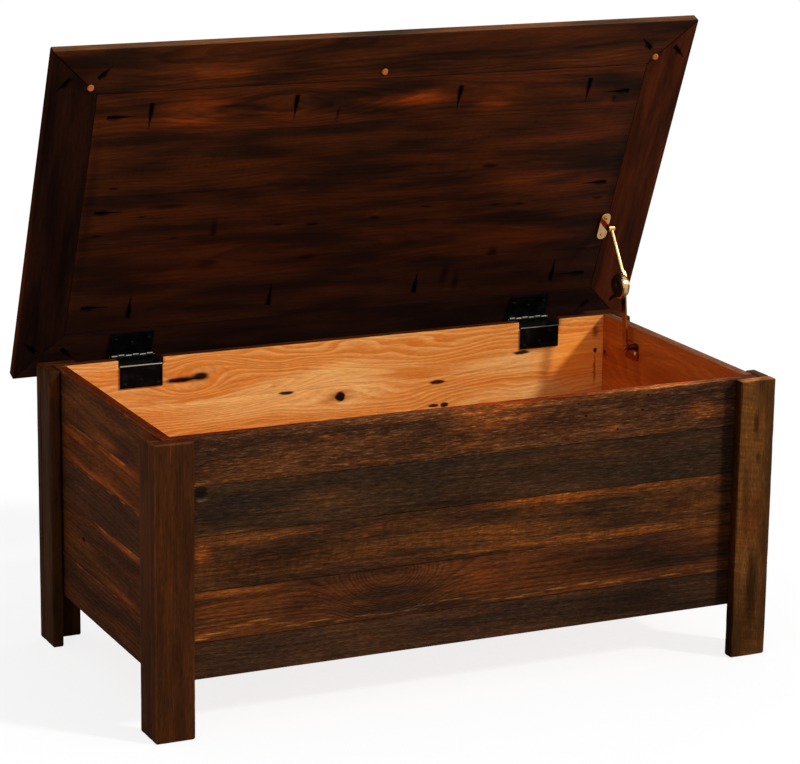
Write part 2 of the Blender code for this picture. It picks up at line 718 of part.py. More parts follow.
def make_arm(pivot, length, chrome, black):
    """The arm runs along local +Y, from the wall pivot to the drum at the elbow."""
    shape, bore = bmesh.new(), bmesh.new()
    outline = lollipop(length, ARM_WIDTH / 2, ARM_DISC_RADIUS, ARM_WIDTH * ARM_END_SHARE, ROUND_SIDES)
    add_prism(shape, outline, ARM_X - ARM_THICKNESS, ARM_X, "X")
    bore_radius = PIVOT_RADIUS + PIN_CLEARANCE
    add_turned(bore, (
        (ARM_X - ARM_THICKNESS - OVERRUN, 0.0), (ARM_X - ARM_THICKNESS - OVERRUN, bore_radius),
        (ARM_X + OVERRUN, bore_radius), (ARM_X + OVERRUN, 0.0),
    ), ROUND_SIDES)
    arm = place_mesh("stay_lower_arm", shape, chrome, pivot)
    boolean(arm, helper("cut_arm_bore", bore, pivot))
    drum = bmesh.new()
    add_turned(drum, (
        (0.0, 0.0),
        (0.0, DRUM_RADIUS - DRUM_ROUNDING),
        (DRUM_ROUNDING, DRUM_RADIUS),
        (DRUM_WIDTH - DRUM_ROUNDING, DRUM_RADIUS),
        (DRUM_WIDTH, DRUM_RADIUS - DRUM_ROUNDING),
        (DRUM_WIDTH, 0.0),
    ), DRUM_SIDES, along((DRUM_X, length, 0.0), (-1, 0, 0)))
    place_mesh("stay_drum", drum, chrome, pivot, smooth=True)
    cap = bmesh.new()
    add_turned(cap, (
        (0.0, 0.0),
        (0.0, DRUM_CAP_RADIUS),
        (DRUM_CAP_WIDTH / 2, DRUM_CAP_RADIUS),
        (DRUM_CAP_WIDTH, DRUM_CAP_RADIUS - DRUM_CAP_WIDTH / 2),
        (DRUM_CAP_WIDTH, DRUM_BOSS_RADIUS),
        (DRUM_CAP_WIDTH + DRUM_BOSS_HEIGHT, DRUM_BOSS_RADIUS * DRUM_BOSS_TAPER_SHARE),
        (DRUM_CAP_WIDTH + DRUM_BOSS_HEIGHT, 0.0),
    ), DRUM_SIDES, along((CAP_X, length, 0.0), (-1, 0, 0)))
    place_mesh("stay_drum_cap", cap, black, pivot, smooth=True)


def make_lid_bracket(lid, lid_boards, look):
    """An oval plate under the lid with a lug, whose pin holds the rod's socket."""
    half_width = LID_BRACKET_WIDTH / 2
    centre_x = LUG_X - LUG_THICKNESS / 2
    centre_y = BALL.x + LID_BRACKET_SHIFT
    straight = LID_BRACKET_LENGTH / 2 - half_width
    outline = arc((centre_x, centre_y + straight), half_width, 0.0, math.pi, SCREW_SIDES)
    outline += arc((centre_x, centre_y - straight), half_width, math.pi, 2 * math.pi, SCREW_SIDES)
    plate_low = UNDERSIDE - GAP - BRACKET_THICKNESS
    plate, lug = bmesh.new(), bmesh.new()
    add_prism(plate, outline, plate_low, UNDERSIDE - GAP)
    half_lug = LUG_WIDTH / 2
    root = plate_low + BRACKET_THICKNESS / 2
    tab = [(BALL.x + half_lug, root), (BALL.x - half_lug, root)]
    tab += arc(BALL, half_lug, math.pi, 2 * math.pi, SCREW_SIDES)
    add_prism(lug, tab, LUG_X - LUG_THICKNESS, LUG_X, "X")
    pin = bmesh.new()
    pin_end = ROD_X + SOCKET_WIDTH / 2 + GAP
    add_turned(pin, (
        (LUG_X - LUG_THICKNESS / 2, 0.0),
        (LUG_X - LUG_THICKNESS / 2, PIVOT_RADIUS),
        (pin_end, PIVOT_RADIUS),
        (pin_end, PIVOT_HEAD_RADIUS),
        (pin_end + PIVOT_HEAD_HEIGHT, PIVOT_HEAD_RADIUS * PIVOT_HEAD_TAPER_SHARE),
        (pin_end + PIVOT_HEAD_HEIGHT, 0.0),
    ), ROUND_SIDES, Matrix.Translation((0.0, *BALL)))
    bracket = place_mesh("stay_lid_bracket", plate, look, lid)
    boolean(bracket, helper("join_lid_lug", lug, lid), "UNION")
    boolean(bracket, helper("join_lid_pin", pin, lid), "UNION")
    add_screws("stay_lid_screw", {
        "front": Vector((centre_x, centre_y - LID_BRACKET_SCREW_SPREAD, plate_low - GAP)),
        "back": Vector((centre_x, centre_y + LID_BRACKET_SCREW_SPREAD, plate_low - GAP)),
    }, (0, 0, 1), [bracket] + lid_boards, lid, look)


def make_wall_bracket(chest, board, look):
    """A plate on the right end's inner face with a stud for the arm."""
    pivot = Vector((WALL_PIVOT_Y, WALL_PIVOT_Z))
    half_length = WALL_BRACKET_LENGTH / 2
    plate_top = pivot.y + WALL_BRACKET_RAISE
    plate_low = plate_top - WALL_BRACKET_HEIGHT
    wall = INNER_HALF_LENGTH - GAP
    face = wall - BRACKET_THICKNESS
    plate, stud = bmesh.new(), bmesh.new()
    corners = ((pivot.x - half_length, plate_low), (pivot.x + half_length, plate_top))
    outline = rounded(rectangle(*corners), BRACKET_ROUNDING)
    add_prism(plate, outline, face, wall, "X")
    shoulder = ARM_X + GAP
    neck_end = ARM_X - ARM_THICKNESS - GAP
    add_turned(stud, (
        (face + BRACKET_THICKNESS / 2, 0.0),
        (face + BRACKET_THICKNESS / 2, PIVOT_BOSS_RADIUS),
        (shoulder, PIVOT_BOSS_RADIUS),
        (shoulder, PIVOT_RADIUS),
        (neck_end, PIVOT_RADIUS),
        (neck_end, PIVOT_HEAD_RADIUS),
        (neck_end - PIVOT_HEAD_HEIGHT, PIVOT_HEAD_RADIUS * PIVOT_HEAD_TAPER_SHARE),
        (neck_end - PIVOT_HEAD_HEIGHT, 0.0),
    ), ROUND_SIDES, Matrix.Translation((0.0, *pivot)))
    bracket = place_mesh("stay_wall_bracket", plate, look, chest)
    boolean(bracket, helper("join_wall_stud", stud, chest), "UNION")
    low_row = pivot.y - WALL_BRACKET_SCREW_DROP
    add_screws("stay_wall_screw", {
        "front": Vector((face - GAP, pivot.x - WALL_BRACKET_SCREW_SPREAD, low_row)),
        "back": Vector((face - GAP, pivot.x + WALL_BRACKET_SCREW_SPREAD, low_row)),
    }, (1, 0, 0), [bracket, board], chest, look)


def main():
    clear_scene()
    weathered = finish("weathered_boards", (0.085, 0.040, 0.018), 0.70)
    post_wood = finish("post_boards", (0.100, 0.042, 0.016), 0.55)
    floor_wood = finish("floor_boards", (0.420, 0.220, 0.090), 0.60)
    lid_wood = finish("lid_boards", (0.070, 0.024, 0.010), 0.35)
    black_steel = finish("black_steel", (0.012, 0.012, 0.011), 0.35, 0.6)
    bright_plate = finish("bright_plate", (0.680, 0.660, 0.620), 0.16, 1.0)
    black_moulding = finish("black_moulding", (0.010, 0.010, 0.010), 0.40)
    tan_pad = finish("tan_pads", (0.700, 0.310, 0.090), 0.60)
    chest = empty("chest", (0.0, -open_depth() / 2, 0.0))
    lid = empty("lid_pivot", (0.0, AXIS_Y, AXIS_Z), chest, -OPEN_ANGLE)
    make_posts(chest, post_wood)
    walls = make_walls(chest, weathered)
    make_floor(chest, floor_wood, weathered)
    lid_boards = make_lid_frame(lid, lid_wood) + make_lid_panel(lid, lid_wood)
    cut_pockets(lid, lid_boards)
    make_bumpers(lid, tan_pad)
    make_hinges(chest, lid, black_steel)
    make_stay(chest, lid, walls, lid_boards, bright_plate, black_moulding)


main()
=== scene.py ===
# %% [markdown]
# # A rustic blanket chest
# The chest is made of reclaimed oak boards, stained dark outside and left honey coloured inside. Its framed
# lid leans open on two black butt hinges, and one bright stay holds it. The CAD model already has every
# piece at its right place, so this lesson is about surfaces: worn edges, sawn grain, stains, knots, screws
# and light.

# %% Load the chest
import math

import bpy
from mathutils import Matrix, Vector


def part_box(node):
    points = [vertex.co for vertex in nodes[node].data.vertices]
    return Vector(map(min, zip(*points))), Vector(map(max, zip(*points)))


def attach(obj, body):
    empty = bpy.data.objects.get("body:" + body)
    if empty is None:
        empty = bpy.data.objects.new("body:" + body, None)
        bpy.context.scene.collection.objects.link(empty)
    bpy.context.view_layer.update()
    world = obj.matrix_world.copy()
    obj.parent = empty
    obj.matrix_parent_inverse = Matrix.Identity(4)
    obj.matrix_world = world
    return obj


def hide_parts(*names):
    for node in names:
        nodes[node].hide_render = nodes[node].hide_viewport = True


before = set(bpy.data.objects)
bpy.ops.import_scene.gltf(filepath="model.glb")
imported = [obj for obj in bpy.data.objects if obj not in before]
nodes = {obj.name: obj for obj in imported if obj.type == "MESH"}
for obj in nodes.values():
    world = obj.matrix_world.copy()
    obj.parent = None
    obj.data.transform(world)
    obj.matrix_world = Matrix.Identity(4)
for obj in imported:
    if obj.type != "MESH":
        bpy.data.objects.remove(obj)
scene = bpy.context.scene
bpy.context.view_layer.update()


def linked(name, data):
    """A new object in the scene."""
    made = bpy.data.objects.new(name, data)
    scene.collection.objects.link(made)
    return made


# %% [markdown]
# ## Measures
# A pattern on a board is easiest to describe on the board itself: so far along the grain, so far across it.
# Each board therefore gets its own space, a small matrix with its origin at a corner and its first axis
# along the grain. The lid's space is found from the hinge pins, because the lid turns about them.

# %% Spaces of the walls and of the lid
MM = 0.001
LID_OPEN = math.radians(67.5)
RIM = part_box("post_front_left_face")[1].z
X_AXIS = Vector((1.0, 0.0, 0.0))
Y_AXIS = Vector((0.0, 1.0, 0.0))
DOWN = Vector((0.0, 0.0, -1.0))
UP = Vector((0.0, 0.0, 1.0))


def space(origin, grain, across):
    """A matrix whose X runs along the grain, Y across it and Z through the board."""
    axes = Matrix((grain, across, grain.cross(across))).transposed()
    return Matrix.Translation(origin) @ axes.to_4x4()


pin_low, pin_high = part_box("hinge_left_pin")
hinge_axis = (pin_low + pin_high) / 2
hinge_axis.x = 0.0
lid_space = Matrix.Translation(hinge_axis) @ Matrix.Rotation(-LID_OPEN, 4, "X")
LID_FORWARD = (lid_space.to_3x3() @ Y_AXIS).normalized()


def span(name, matrix):
    """Lowest and highest corner of a CAD node along the axes of a space."""
    inverse = matrix.inverted()
    points = [inverse @ vertex.co for vertex in nodes[name].data.vertices]
    lows = Vector(min(point[axis] for point in points) for axis in range(3))
    highs = Vector(max(point[axis] for point in points) for axis in range(3))
    return lows, highs


lid_low = span("lid_stile_left", lid_space)[0]
lid_corner = lid_space @ lid_low
print("hinge axis:", tuple(round(value, 4) for value in hinge_axis))
print("lid corner in its own space:", tuple(round(value, 4) for value in lid_low))

# %% [markdown]
# ## Camera
# The camera stands where the photographer stood: left of the chest, a good four metres away and with a long
# lens. Its place was found by matching about thirty corners of the chest to the photo.

# %% Camera at the photo's angle
CAMERA_PLACE = (-1.9941, -4.2352, 1.6293)
CAMERA_TURNS = ((-0.4403772, "Z"), (1.3216094, "X"), (0.0133252, "Z"))
FOCAL_LENGTH = 135.467
SENSOR_WIDTH = 36.0
lens = bpy.data.cameras.new("photo_camera")
lens.lens = FOCAL_LENGTH
lens.sensor_width = SENSOR_WIDTH
lens.sensor_fit = "HORIZONTAL"
camera = linked("photo_camera", lens)
pose = Matrix.Translation(CAMERA_PLACE)
for angle, axis in CAMERA_TURNS:
    pose = pose @ Matrix.Rotation(angle, 4, axis)
camera.matrix_world = pose
scene.camera = camera
print("camera looks from", CAMERA_PLACE)

# %% [markdown]
# ## Node helpers
# Materials and shapes here are trees of nodes. The result of a node is wrapped as a wire, which can be
# added and multiplied like a number, so that a formula in the script reads like a formula. Most of such a
# formula becomes Math nodes, or Vector Math nodes where a vector or a colour takes part.

# %% Wires between nodes


class Wire:
    """One result of a node: a number, a vector or a colour that a tree can reckon with."""

    def __init__(self, socket):
        self.socket = socket
        self.tree = socket.id_data
        self.long = socket.type in ("VECTOR", "RGBA")


def make(tree, kind, inputs=None, **fields):
    """Adds a node. inputs maps a socket's name or number to a value or to a wire."""
    node = tree.nodes.new(kind)
    for field, value in fields.items():
        setattr(node, field, value)
    for key, value in (inputs or {}).items():
        if isinstance(value, Wire):
            tree.links.new(value.socket, node.inputs[key])
        else:
            node.inputs[key].default_value = value
    return node


def wire(tree, kind, inputs=None, output=0, **fields):
    """Adds a node and gives one of its results."""
    return Wire(make(tree, kind, inputs, **fields).outputs[output])


def reckon(operation, *values):
    """A Math node, or a Vector Math node where one of the values is a vector or a colour."""
    wires = [value for value in values if isinstance(value, Wire)]
    kind = "ShaderNodeMath"
    if any(value.long for value in wires) or any(isinstance(value, tuple) for value in values):
        kind = "ShaderNodeVectorMath"
        values = [(value,) * 3 if isinstance(value, (int, float)) else value for value in values]
    output = "Value" if kind == "ShaderNodeMath" or operation in ("LENGTH", "DOT_PRODUCT") else "Vector"
    return wire(wires[0].tree, kind, dict(enumerate(values)), output, operation=operation)


for sign, operation in {"add": "ADD", "sub": "SUBTRACT", "mul": "MULTIPLY", "truediv": "DIVIDE"}.items():
    setattr(Wire, f"__{sign}__", lambda self, other, does=operation: reckon(does, self, other))
    setattr(Wire, f"__r{sign}__", lambda self, other, does=operation: reckon(does, other, self))


print("wires can be added and multiplied")

# %% [markdown]
# These are the few nodes used all the time: a smooth step, a mix of two colours, noise, and how far a
# surface faces a direction. Colours are given as a painter reads them from a screen, 0 to 255, and turned
# into the linear values that the renderer works with.

# %% The nodes used all the time


def ramp(value, low, high, to_low=0.0, to_high=1.0):
    """A smooth step of a value from one range to another."""
    sockets = dict(enumerate((value, low, high, to_low, to_high)))
    return wire(value.tree, "ShaderNodeMapRange", sockets, interpolation_type="SMOOTHSTEP")


def mixed(factor, first, second):
    """Two colours mixed."""
    return wire(factor.tree, "ShaderNodeMix", {0: factor, 6: first, 7: second}, 2, data_type="RGBA")


def noise(place, per_metre, seed=0.0, detail=2.0, roughness=0.5, output=0):
    """Noise with its own number of grains to the metre along, across and through the board."""
    stretched = reckon("MULTIPLY_ADD", place, per_metre, seed)
    sockets = {"Vector": stretched, "Scale": 1.0, "Detail": detail, "Roughness": roughness}
    return wire(place.tree, "ShaderNodeTexNoise", sockets, output)


def split(value):
    """The three parts of a vector."""
    return [Wire(part) for part in make(value.tree, "ShaderNodeSeparateXYZ", {0: value}).outputs]


def facing(tree, direction):
    """How much the surface faces a direction: 1 straight on, 0 sideways."""
    return reckon("DOT_PRODUCT", wire(tree, "ShaderNodeTexCoord", output="Normal"), tuple(direction))


def paint(red, green, blue):
    """A screen colour, 0 to 255 a channel, as linear RGBA."""
    shares = [channel / 255 for channel in (red, green, blue)]
    linear = [share / 12.92 if share <= 0.04045 else ((share + 0.055) / 1.055) ** 2.4 for share in shares]
    return (*linear, 1.0)


print("mid grey as a linear colour:", paint(128, 128, 128))

# %% [markdown]
# A node group is a tree made once and used many times, and a material is a tree that ends in a shader. Each
# new one starts empty.

# %% Node groups and materials


def new_group(name, kind, inputs, outputs):
    """An empty node group. Returns it, its given wires and a function that hands on its results."""
    group = bpy.data.node_groups.new(name, kind)
    for direction, sockets in (("INPUT", inputs), ("OUTPUT", outputs)):
        for socket in sockets.split(", "):
            socket_type, label = socket.split(" ", 1)
            group.interface.new_socket(label, in_out=direction, socket_type="NodeSocket" + socket_type)
    sources = group.nodes.new("NodeGroupInput").outputs
    given = {socket.name: Wire(socket) for socket in sources if socket.name}
    results = group.nodes.new("NodeGroupOutput").inputs

    def give(label, value):
        group.links.new(value.socket, results[label])

    return group, given, give


def emptied(owner):
    """The empty node tree of a new material or world."""
    owner.use_nodes = True
    owner.node_tree.nodes.clear()
    return owner.node_tree


def new_material(name):
    """An empty material. Returns it, its tree and its shader."""
    material = bpy.data.materials.new(name)
    tree = emptied(material)
    shader = make(tree, "ShaderNodeBsdfPrincipled")
    make(tree, "ShaderNodeOutputMaterial", {"Surface": Wire(shader.outputs[0])})
    return material, tree, shader


def finish_shader(shader, colour, gloss, bump, specular):
    """Gives a shader its colour and its gloss, a bump of height, strength and distance, and its specular."""
    tree = colour.tree
    relief = wire(tree, "ShaderNodeBump", dict(zip(("Height", "Strength", "Distance"), bump)))
    for label, value in {"Base Color": colour, "Roughness": gloss, "Normal": relief}.items():
        tree.links.new(value.socket, shader.inputs[label])
    shader.inputs["Specular IOR Level"].default_value = specular


print("helpers ready")

# %% [markdown]
# ## Floor and light
# A plain pale floor and plain light show a material as it is. The sun lamp stands for one big soft lamp, to
# the right and in front, and the pale world fills the shadows. The camera and polished surfaces see the
# world as plain white, while its light is dimmer, so the background never overexposes the wood.

# %% Floor, world and lamp
SUN_STRENGTH = 1.9
SUN_WIDTH = math.radians(6.0)
SUN_FROM = Vector((1.0, -1.0, 1.0))
WORLD_FILL = 0.55
FLOOR_HALF = 30.0
FLOOR_COLOUR = (0.80, 0.80, 0.80, 1.0)
FLOOR_SEEN = (0.22, 0.22, 0.22, 1.0)
FLOOR_GLOW = 0.82

floor_mesh = bpy.data.meshes.new("studio_floor")
floor_corners = [(-1, -1), (1, -1), (1, 1), (-1, 1)]
floor_mesh.from_pydata([(x * FLOOR_HALF, y * FLOOR_HALF, 0.0) for x, y in floor_corners], [], [(0, 1, 2, 3)])
floor = linked("studio_floor", floor_mesh)

floor_material = bpy.data.materials.new("pale_floor")
tree = emptied(floor_material)
camera_ray = wire(tree, "ShaderNodeLightPath", output="Is Camera Ray")
lit = wire(tree, "ShaderNodeBsdfDiffuse", {"Color": mixed(camera_ray, FLOOR_COLOUR, FLOOR_SEEN)})
glow = wire(tree, "ShaderNodeEmission", {"Strength": camera_ray * FLOOR_GLOW})
both = wire(tree, "ShaderNodeAddShader", {0: lit, 1: glow})
make(tree, "ShaderNodeOutputMaterial", {"Surface": both})
floor_mesh.materials.append(floor_material)

world = bpy.data.worlds.new("pale_world")
scene.world = world
tree = emptied(world)
path = make(tree, "ShaderNodeLightPath").outputs
seen = reckon("MAXIMUM", Wire(path["Is Camera Ray"]), Wire(path["Is Glossy Ray"]))
seen = reckon("MAXIMUM", seen, Wire(path["Is Transmission Ray"]))
sockets = {"Color": (1.0, 1.0, 1.0, 1.0), "Strength": seen * (1.0 - WORLD_FILL) + WORLD_FILL}
make(tree, "ShaderNodeOutputWorld", {"Surface": wire(tree, "ShaderNodeBackground", sockets)})

sun_data = bpy.data.lights.new("key_lamp", "SUN")
sun_data.energy = SUN_STRENGTH
sun_data.angle = SUN_WIDTH
sun = linked("key_lamp", sun_data)
sun.rotation_euler = SUN_FROM.to_track_quat("Z", "Y").to_euler()

scene.view_settings.view_transform = "Standard"
print("floor, world and lamp made")

# %% [markdown]
# ## The figure of sawn oak
# A board shows a slice through the growth rings of a tree. The rings are near-cylinders about the pith, so
# their lines on the board come from one number: the distance of each point from the pith line. Where the
# pith line tilts or bows through the board, the same number draws the pointed arches and closed ovals of
# flat-sawn oak. Some years leave a fainter line than others, and a slow sway keeps the lines from running
# straight.

# %% Node group: the rings of sawn oak
figure, given, give = new_group(
    "sawn_oak",
    "ShaderNodeTree",
    "Vector Board, Float Seed, Vector Pith, Float Tilt, Float Bow, Float Bow Length, Float Ring, "
    "Float Wander, Color Light, Color Dark, Float Balance, Float Rings, Float Pores, Float Streaks, "
    "Float Flecks, Float Chatter, Float Ring Tone, Float Cloudiness, Float Bleach",
    "Color Colour, Float Height",
)
board, seed = given["Board"], given["Seed"]
SWAY, QUICK_SWAY = (2.6, 11.0, 11.0), (9.0, 34.0, 34.0)
QUICK_SHARE, SWAY_MEAN = 0.22, 0.61
LATE_WOOD, YEAR_END = (0.2, 0.85), (0.88, 1.0, 1.0, 0.0)
FAINTEST_YEAR = 0.45
sway = noise(board, QUICK_SWAY, seed, 1.0) * QUICK_SHARE + noise(board, SWAY, seed)
sway = (sway - SWAY_MEAN) * given["Wander"]
along, across, _ = split(board - given["Pith"])
_, board_across, board_deep = split(board)
cross = across + sway
share = along / given["Bow Length"]
share = reckon("EXPONENT", share * share * -1.0)
rise = along * given["Tilt"] + ((1.0 - share) * given["Bow"] + board_deep) + split(given["Pith"])[2]
phase = reckon("SQRT", rise * rise + cross * cross) / given["Ring"]
turn = reckon("FRACT", phase)
year = reckon("FLOOR", phase) + seed
year_tone = wire(figure, "ShaderNodeTexWhiteNoise", {"W": year}, noise_dimensions="1D")
late = ramp(turn, *LATE_WOOD) * ramp(turn, *YEAR_END) * ramp(year_tone, 0.0, 1.0, FAINTEST_YEAR, 1.0)
print("rings drawn with", len(figure.nodes), "nodes")

# %% [markdown]
# Noise stretched along the grain gives fibres, open pores and the clouds of two tones, and cloudiness sets
# how small those clouds are. A fine ripple across the grain stands for the marks of the saw, and short pale
# dashes for fibres that the sun has bleached. The shares are powers of two, the way a lens counts its
# stops.

# %% Node group: fibres, pores and tone
BROAD, STREAK, FLECK = (2.4, 17.0, 17.0), (18.0, 260.0, 260.0), (85.0, 620.0, 620.0)
PORE, DASH = (60.0, 900.0, 900.0), (75.0, 480.0, 480.0)
SAW, SAW_GATE = (190.0, 18.0, 18.0), (5.0, 34.0, 34.0)
BLEACHING = ((1.9, 2.1, 2.3), (0.013, 0.010, 0.006))
PORE_STEP, SAW_STEP, TONE_STEP, DASH_STEP = (0.54, 0.70), (0.40, 0.62), (-0.17, 0.17), (0.53, 0.64)
PORES_FADE, SAW_SLANT, MIDDLE = 1.1, 0.2, 0.5
RAISED = {"fibre": 0.45, "pore": 0.3, "late": 0.12, "saw": 0.15}
broad = noise(board * given["Cloudiness"], BROAD, seed, 3.0, 0.55)
streaks = noise(board, STREAK, seed, 3.0, 0.6)
flecks = noise(board, FLECK, seed, 2.0, 0.6)
pores = ramp(noise(board, PORE, seed, 1.0), *PORE_STEP) * (PORES_FADE - turn)
slant = wire(figure, "ShaderNodeCombineXYZ", {0: board_across * SAW_SLANT})
saw = noise(board + slant, SAW, seed, 3.0, 0.6) - MIDDLE
saw = saw * ramp(noise(board, SAW_GATE, seed), *SAW_STEP) * given["Chatter"]
tone = ramp(broad - given["Balance"], *TONE_STEP) + late * given["Ring Tone"]
power = (streaks - MIDDLE) * given["Streaks"] + (flecks - MIDDLE) * given["Flecks"]
power = saw + (power - late * given["Rings"] - pores * given["Pores"])
shaded = mixed(tone, given["Dark"], given["Light"]) * reckon("POWER", 2.0, power)
dashes = ramp(noise(board, DASH, seed, 3.0, 0.65), *DASH_STEP) * given["Bleach"]
give("Colour", mixed(dashes, shaded, shaded * BLEACHING[0] + BLEACHING[1]))
height = (flecks + streaks) * RAISED["fibre"] - pores * RAISED["pore"]
give("Height", height + late * RAISED["late"] + saw * RAISED["saw"])
print("sawn oak group:", len(figure.nodes), "nodes")

# %% [markdown]
# ## Marks and knots
# What makes a reclaimed board itself are its marks: warm patches, water stains, nail holes, worm holes and
# knots. A mark is an oval that multiplies the colour below it, so the grain still shows through, and its
# edge fades. A knot also bends the grain: points near it are drawn towards its centre line before the
# figure is worked out, and the fibres then part and flow round it as they do in the tree.

# %% Node groups: a mark, and grain that flows round a knot
mark_group, given, give = new_group(
    "mark",
    "ShaderNodeTree",
    "Color Colour, Float Height, Vector Place, Vector Centre, Vector Reach, Float Softness, Vector Tint, "
    "Float Sink",
    "Color Colour, Float Height",
)
away = reckon("LENGTH", (given["Place"] - given["Centre"]) / given["Reach"])
share = ramp(away, 1.0 - given["Softness"], 1.0, 1.0, 0.0)
give("Colour", given["Colour"] * ((given["Tint"] - 1.0) * share + 1.0))
give("Height", given["Height"] - share * given["Sink"])

flow_group, given, give = new_group(
    "grain_round_knot", "ShaderNodeTree", "Vector Board, Vector Centre, Float Reach", "Vector Board"
)
KNOT_LENGTHENED = (0.4, 1.0, 0.0)
KNOT_PULL = (0.0, -0.9, 0.0)
KNOT_FADE = -0.3
off = given["Board"] - given["Centre"]
near = reckon("LENGTH", off * KNOT_LENGTHENED) / given["Reach"]
pull = reckon("EXPONENT", near * near * KNOT_FADE)
give("Board", given["Board"] + off * KNOT_PULL * pull)
print("mark and knot groups ready")

# %% [markdown]
# ## A finish for each board
# One function mixes the finish of any board. It takes the board's space, two tones, the run of its rings
# and its own list of marks, all in millimetres along and across the board. A mark is its place, its half
# length and half width, its tint and, where they differ from the usual, its softness and how far it sinks.

# %% The usual recipe and the tints
WARM = (2.3, 1.9, 1.35)
GLOW = (1.6, 1.45, 1.15)
STAIN = (0.45, 0.42, 0.45)
SOOT = (0.12, 0.10, 0.10)
BLUE = (0.66, 0.74, 0.95)
PALE = (1.8, 1.8, 1.75)
BROAD_MARK = (27, 9)
FLAT, ARRIS = (0.5, 0.9), (0.8, 0.95)
OAK = dict(
    seed=0.0, pith=(400, 30, 30), tilt=0.02, bow=0.0, bow_length=160, ring=5.0, wander=30.0, balance=0.5,
    rings=0.7, ring_tone=0.0, cloudiness=1.0, bleach=0.0, pores=0.7, streaks=3.0, flecks=3.0, chatter=0.0,
    marks=(), knots=(), faces=(), underside=None, rough=(0.5, 0.8), specular=0.05, relief=0.5,
)
print("a board's usual recipe:", len(OAK), "values")

# %% [markdown]
# The marks are laid one over the other. Big soft ones get a wide wobble in their outline, small ones only a
# slight one. Lid boards are seen from below, and the sides of their pockets and joints get painted shade,
# as do the faces there that slope upwards.

# %% Laying marks on a board


def wobbled(place, per_metre, seed, detail, reach):
    """A place shifted a little by noise."""
    shift = noise(place, per_metre, seed, detail, 0.6, output=1)
    return place + reckon("MULTIPLY_ADD", shift, reach, tuple(-value / 2 for value in reach))


def add_mark(look, places, through, x, y, half_length, half_width, tint, softness=0.95, sink=0.0):
    """Lays one mark over the colour and the height of a board."""
    loose, near = places
    broad_one = half_length > BROAD_MARK[0] and half_width > BROAD_MARK[1]
    sockets = {
        "Colour": look[0], "Height": look[1], "Place": loose if broad_one else near,
        "Centre": (x * MM, y * MM, 0.0), "Reach": (half_length * MM, half_width * MM, through),
        "Softness": softness, "Tint": tint, "Sink": sink,
    }
    return [Wire(made) for made in make(near.tree, "ShaderNodeGroup", sockets, node_tree=mark_group).outputs]


SIDE_SEEN, SIDE_DEPTH, FLAT_TO_FACE = (0.02, 0.2), (1.25 * MM, 2.2 * MM), (0.8, 0.98)
SIDE_SHADE, SLOPE_SEEN, SLOPE_SHADE = 0.9, (-0.3, 0.35), (-0.7, 0.7)


def with_painted_recess_shade(colour, place, direction):
    """A lid board's colour with painted shade on the sides below its face and on faces that slope upwards.
    """
    faced = facing(colour.tree, direction)
    open_to = ramp(faced, *SIDE_SEEN)
    dark = ramp(reckon("ABSOLUTE", split(place)[2]), *SIDE_DEPTH, 0.0, SIDE_SHADE) * open_to
    upward = ramp(facing(colour.tree, UP), *SLOPE_SEEN, *SLOPE_SHADE)
    sloped = ramp(faced, *FLAT_TO_FACE, 1.0, 0.0) * upward * open_to
    return colour * (1.0 - reckon("MAXIMUM", dark, sloped))


print("marks up to", BROAD_MARK, "mm wobble only slightly")

# %% [markdown]
# Now the finish itself: the board's space, the knots that bend the grain, the figure, the marks, and at
# last the faces that light or wear has changed, such as a rim or an arris.

# %% A board's finish
FULL_DEPTH, LID_DEPTH = 10.0, 12.0 * MM
GLOSS_STEP = (0.4, 1.0)
LOOSE_GRAIN, LOOSE_REACH = (9.0, 75.0, 75.0), (0.08, 0.024, 0.0)
NEAR_GRAIN, NEAR_REACH = (70.0, 160.0, 160.0), (0.006, 0.003, 0.0)


def oak(name, board_space, light, dark, **changes):
    """The finish of one board, from its recipe."""
    recipe = {**OAK, **changes, "light": paint(*light), "dark": paint(*dark)}
    recipe["pith"] = [value * MM for value in recipe["pith"]]
    for length in ("bow", "bow_length", "ring", "wander"):
        recipe[length] *= MM
    seed = recipe["seed"]
    material, tree, shader = new_material(name)
    sockets = {
        "Vector": wire(tree, "ShaderNodeTexCoord", output="Object"),
        "Location": board_space.to_translation(), "Rotation": board_space.to_euler(),
    }
    place = grain = wire(tree, "ShaderNodeMapping", sockets, vector_type="TEXTURE")
    for x, y, reach in recipe["knots"]:
        sockets = {"Board": grain, "Centre": (x * MM, y * MM, 0.0), "Reach": reach * MM}
        grain = wire(tree, "ShaderNodeGroup", sockets, node_tree=flow_group)
    oak_node = make(tree, "ShaderNodeGroup", node_tree=figure)
    tree.links.new(grain.socket, oak_node.inputs["Board"])
    for socket in list(oak_node.inputs)[1:]:
        socket.default_value = recipe[socket.name.lower().replace(" ", "_")]
    look = [Wire(made) for made in oak_node.outputs]
    if recipe["marks"]:
        loose = wobbled(place, LOOSE_GRAIN, seed, 3.0, LOOSE_REACH)
        near = wobbled(place, NEAR_GRAIN, seed, 2.0, NEAR_REACH)
        through = LID_DEPTH if recipe["underside"] else FULL_DEPTH
        for mark in recipe["marks"]:
            look = add_mark(look, (loose, near), through, *mark)
    colour, height = look
    if recipe["underside"]:
        colour = with_painted_recess_shade(colour, place, recipe["underside"])
    for direction, (low, high), tint in recipe["faces"]:
        share = ramp(facing(tree, direction), low, high)
        colour = colour * (share * tuple(value - 1.0 for value in tint) + 1.0)
    low, high = recipe["rough"]
    bump = (height, 1.0, recipe["relief"] * MM)
    finish_shader(shader, colour, ramp(height, *GLOSS_STEP, high, low), bump, recipe["specular"])
    return material


print("a finish for any board, in", figure.name, "with", len(figure.nodes), "nodes")

# %% [markdown]
# ## Walls: the recipes
# The front wall has five wide boards of different age and colour: a rough grey-brown one at the rim, a
# bluish one, one with a tan sawn edge, one with the ovals of flat-sawn oak, and a dark one at the foot.

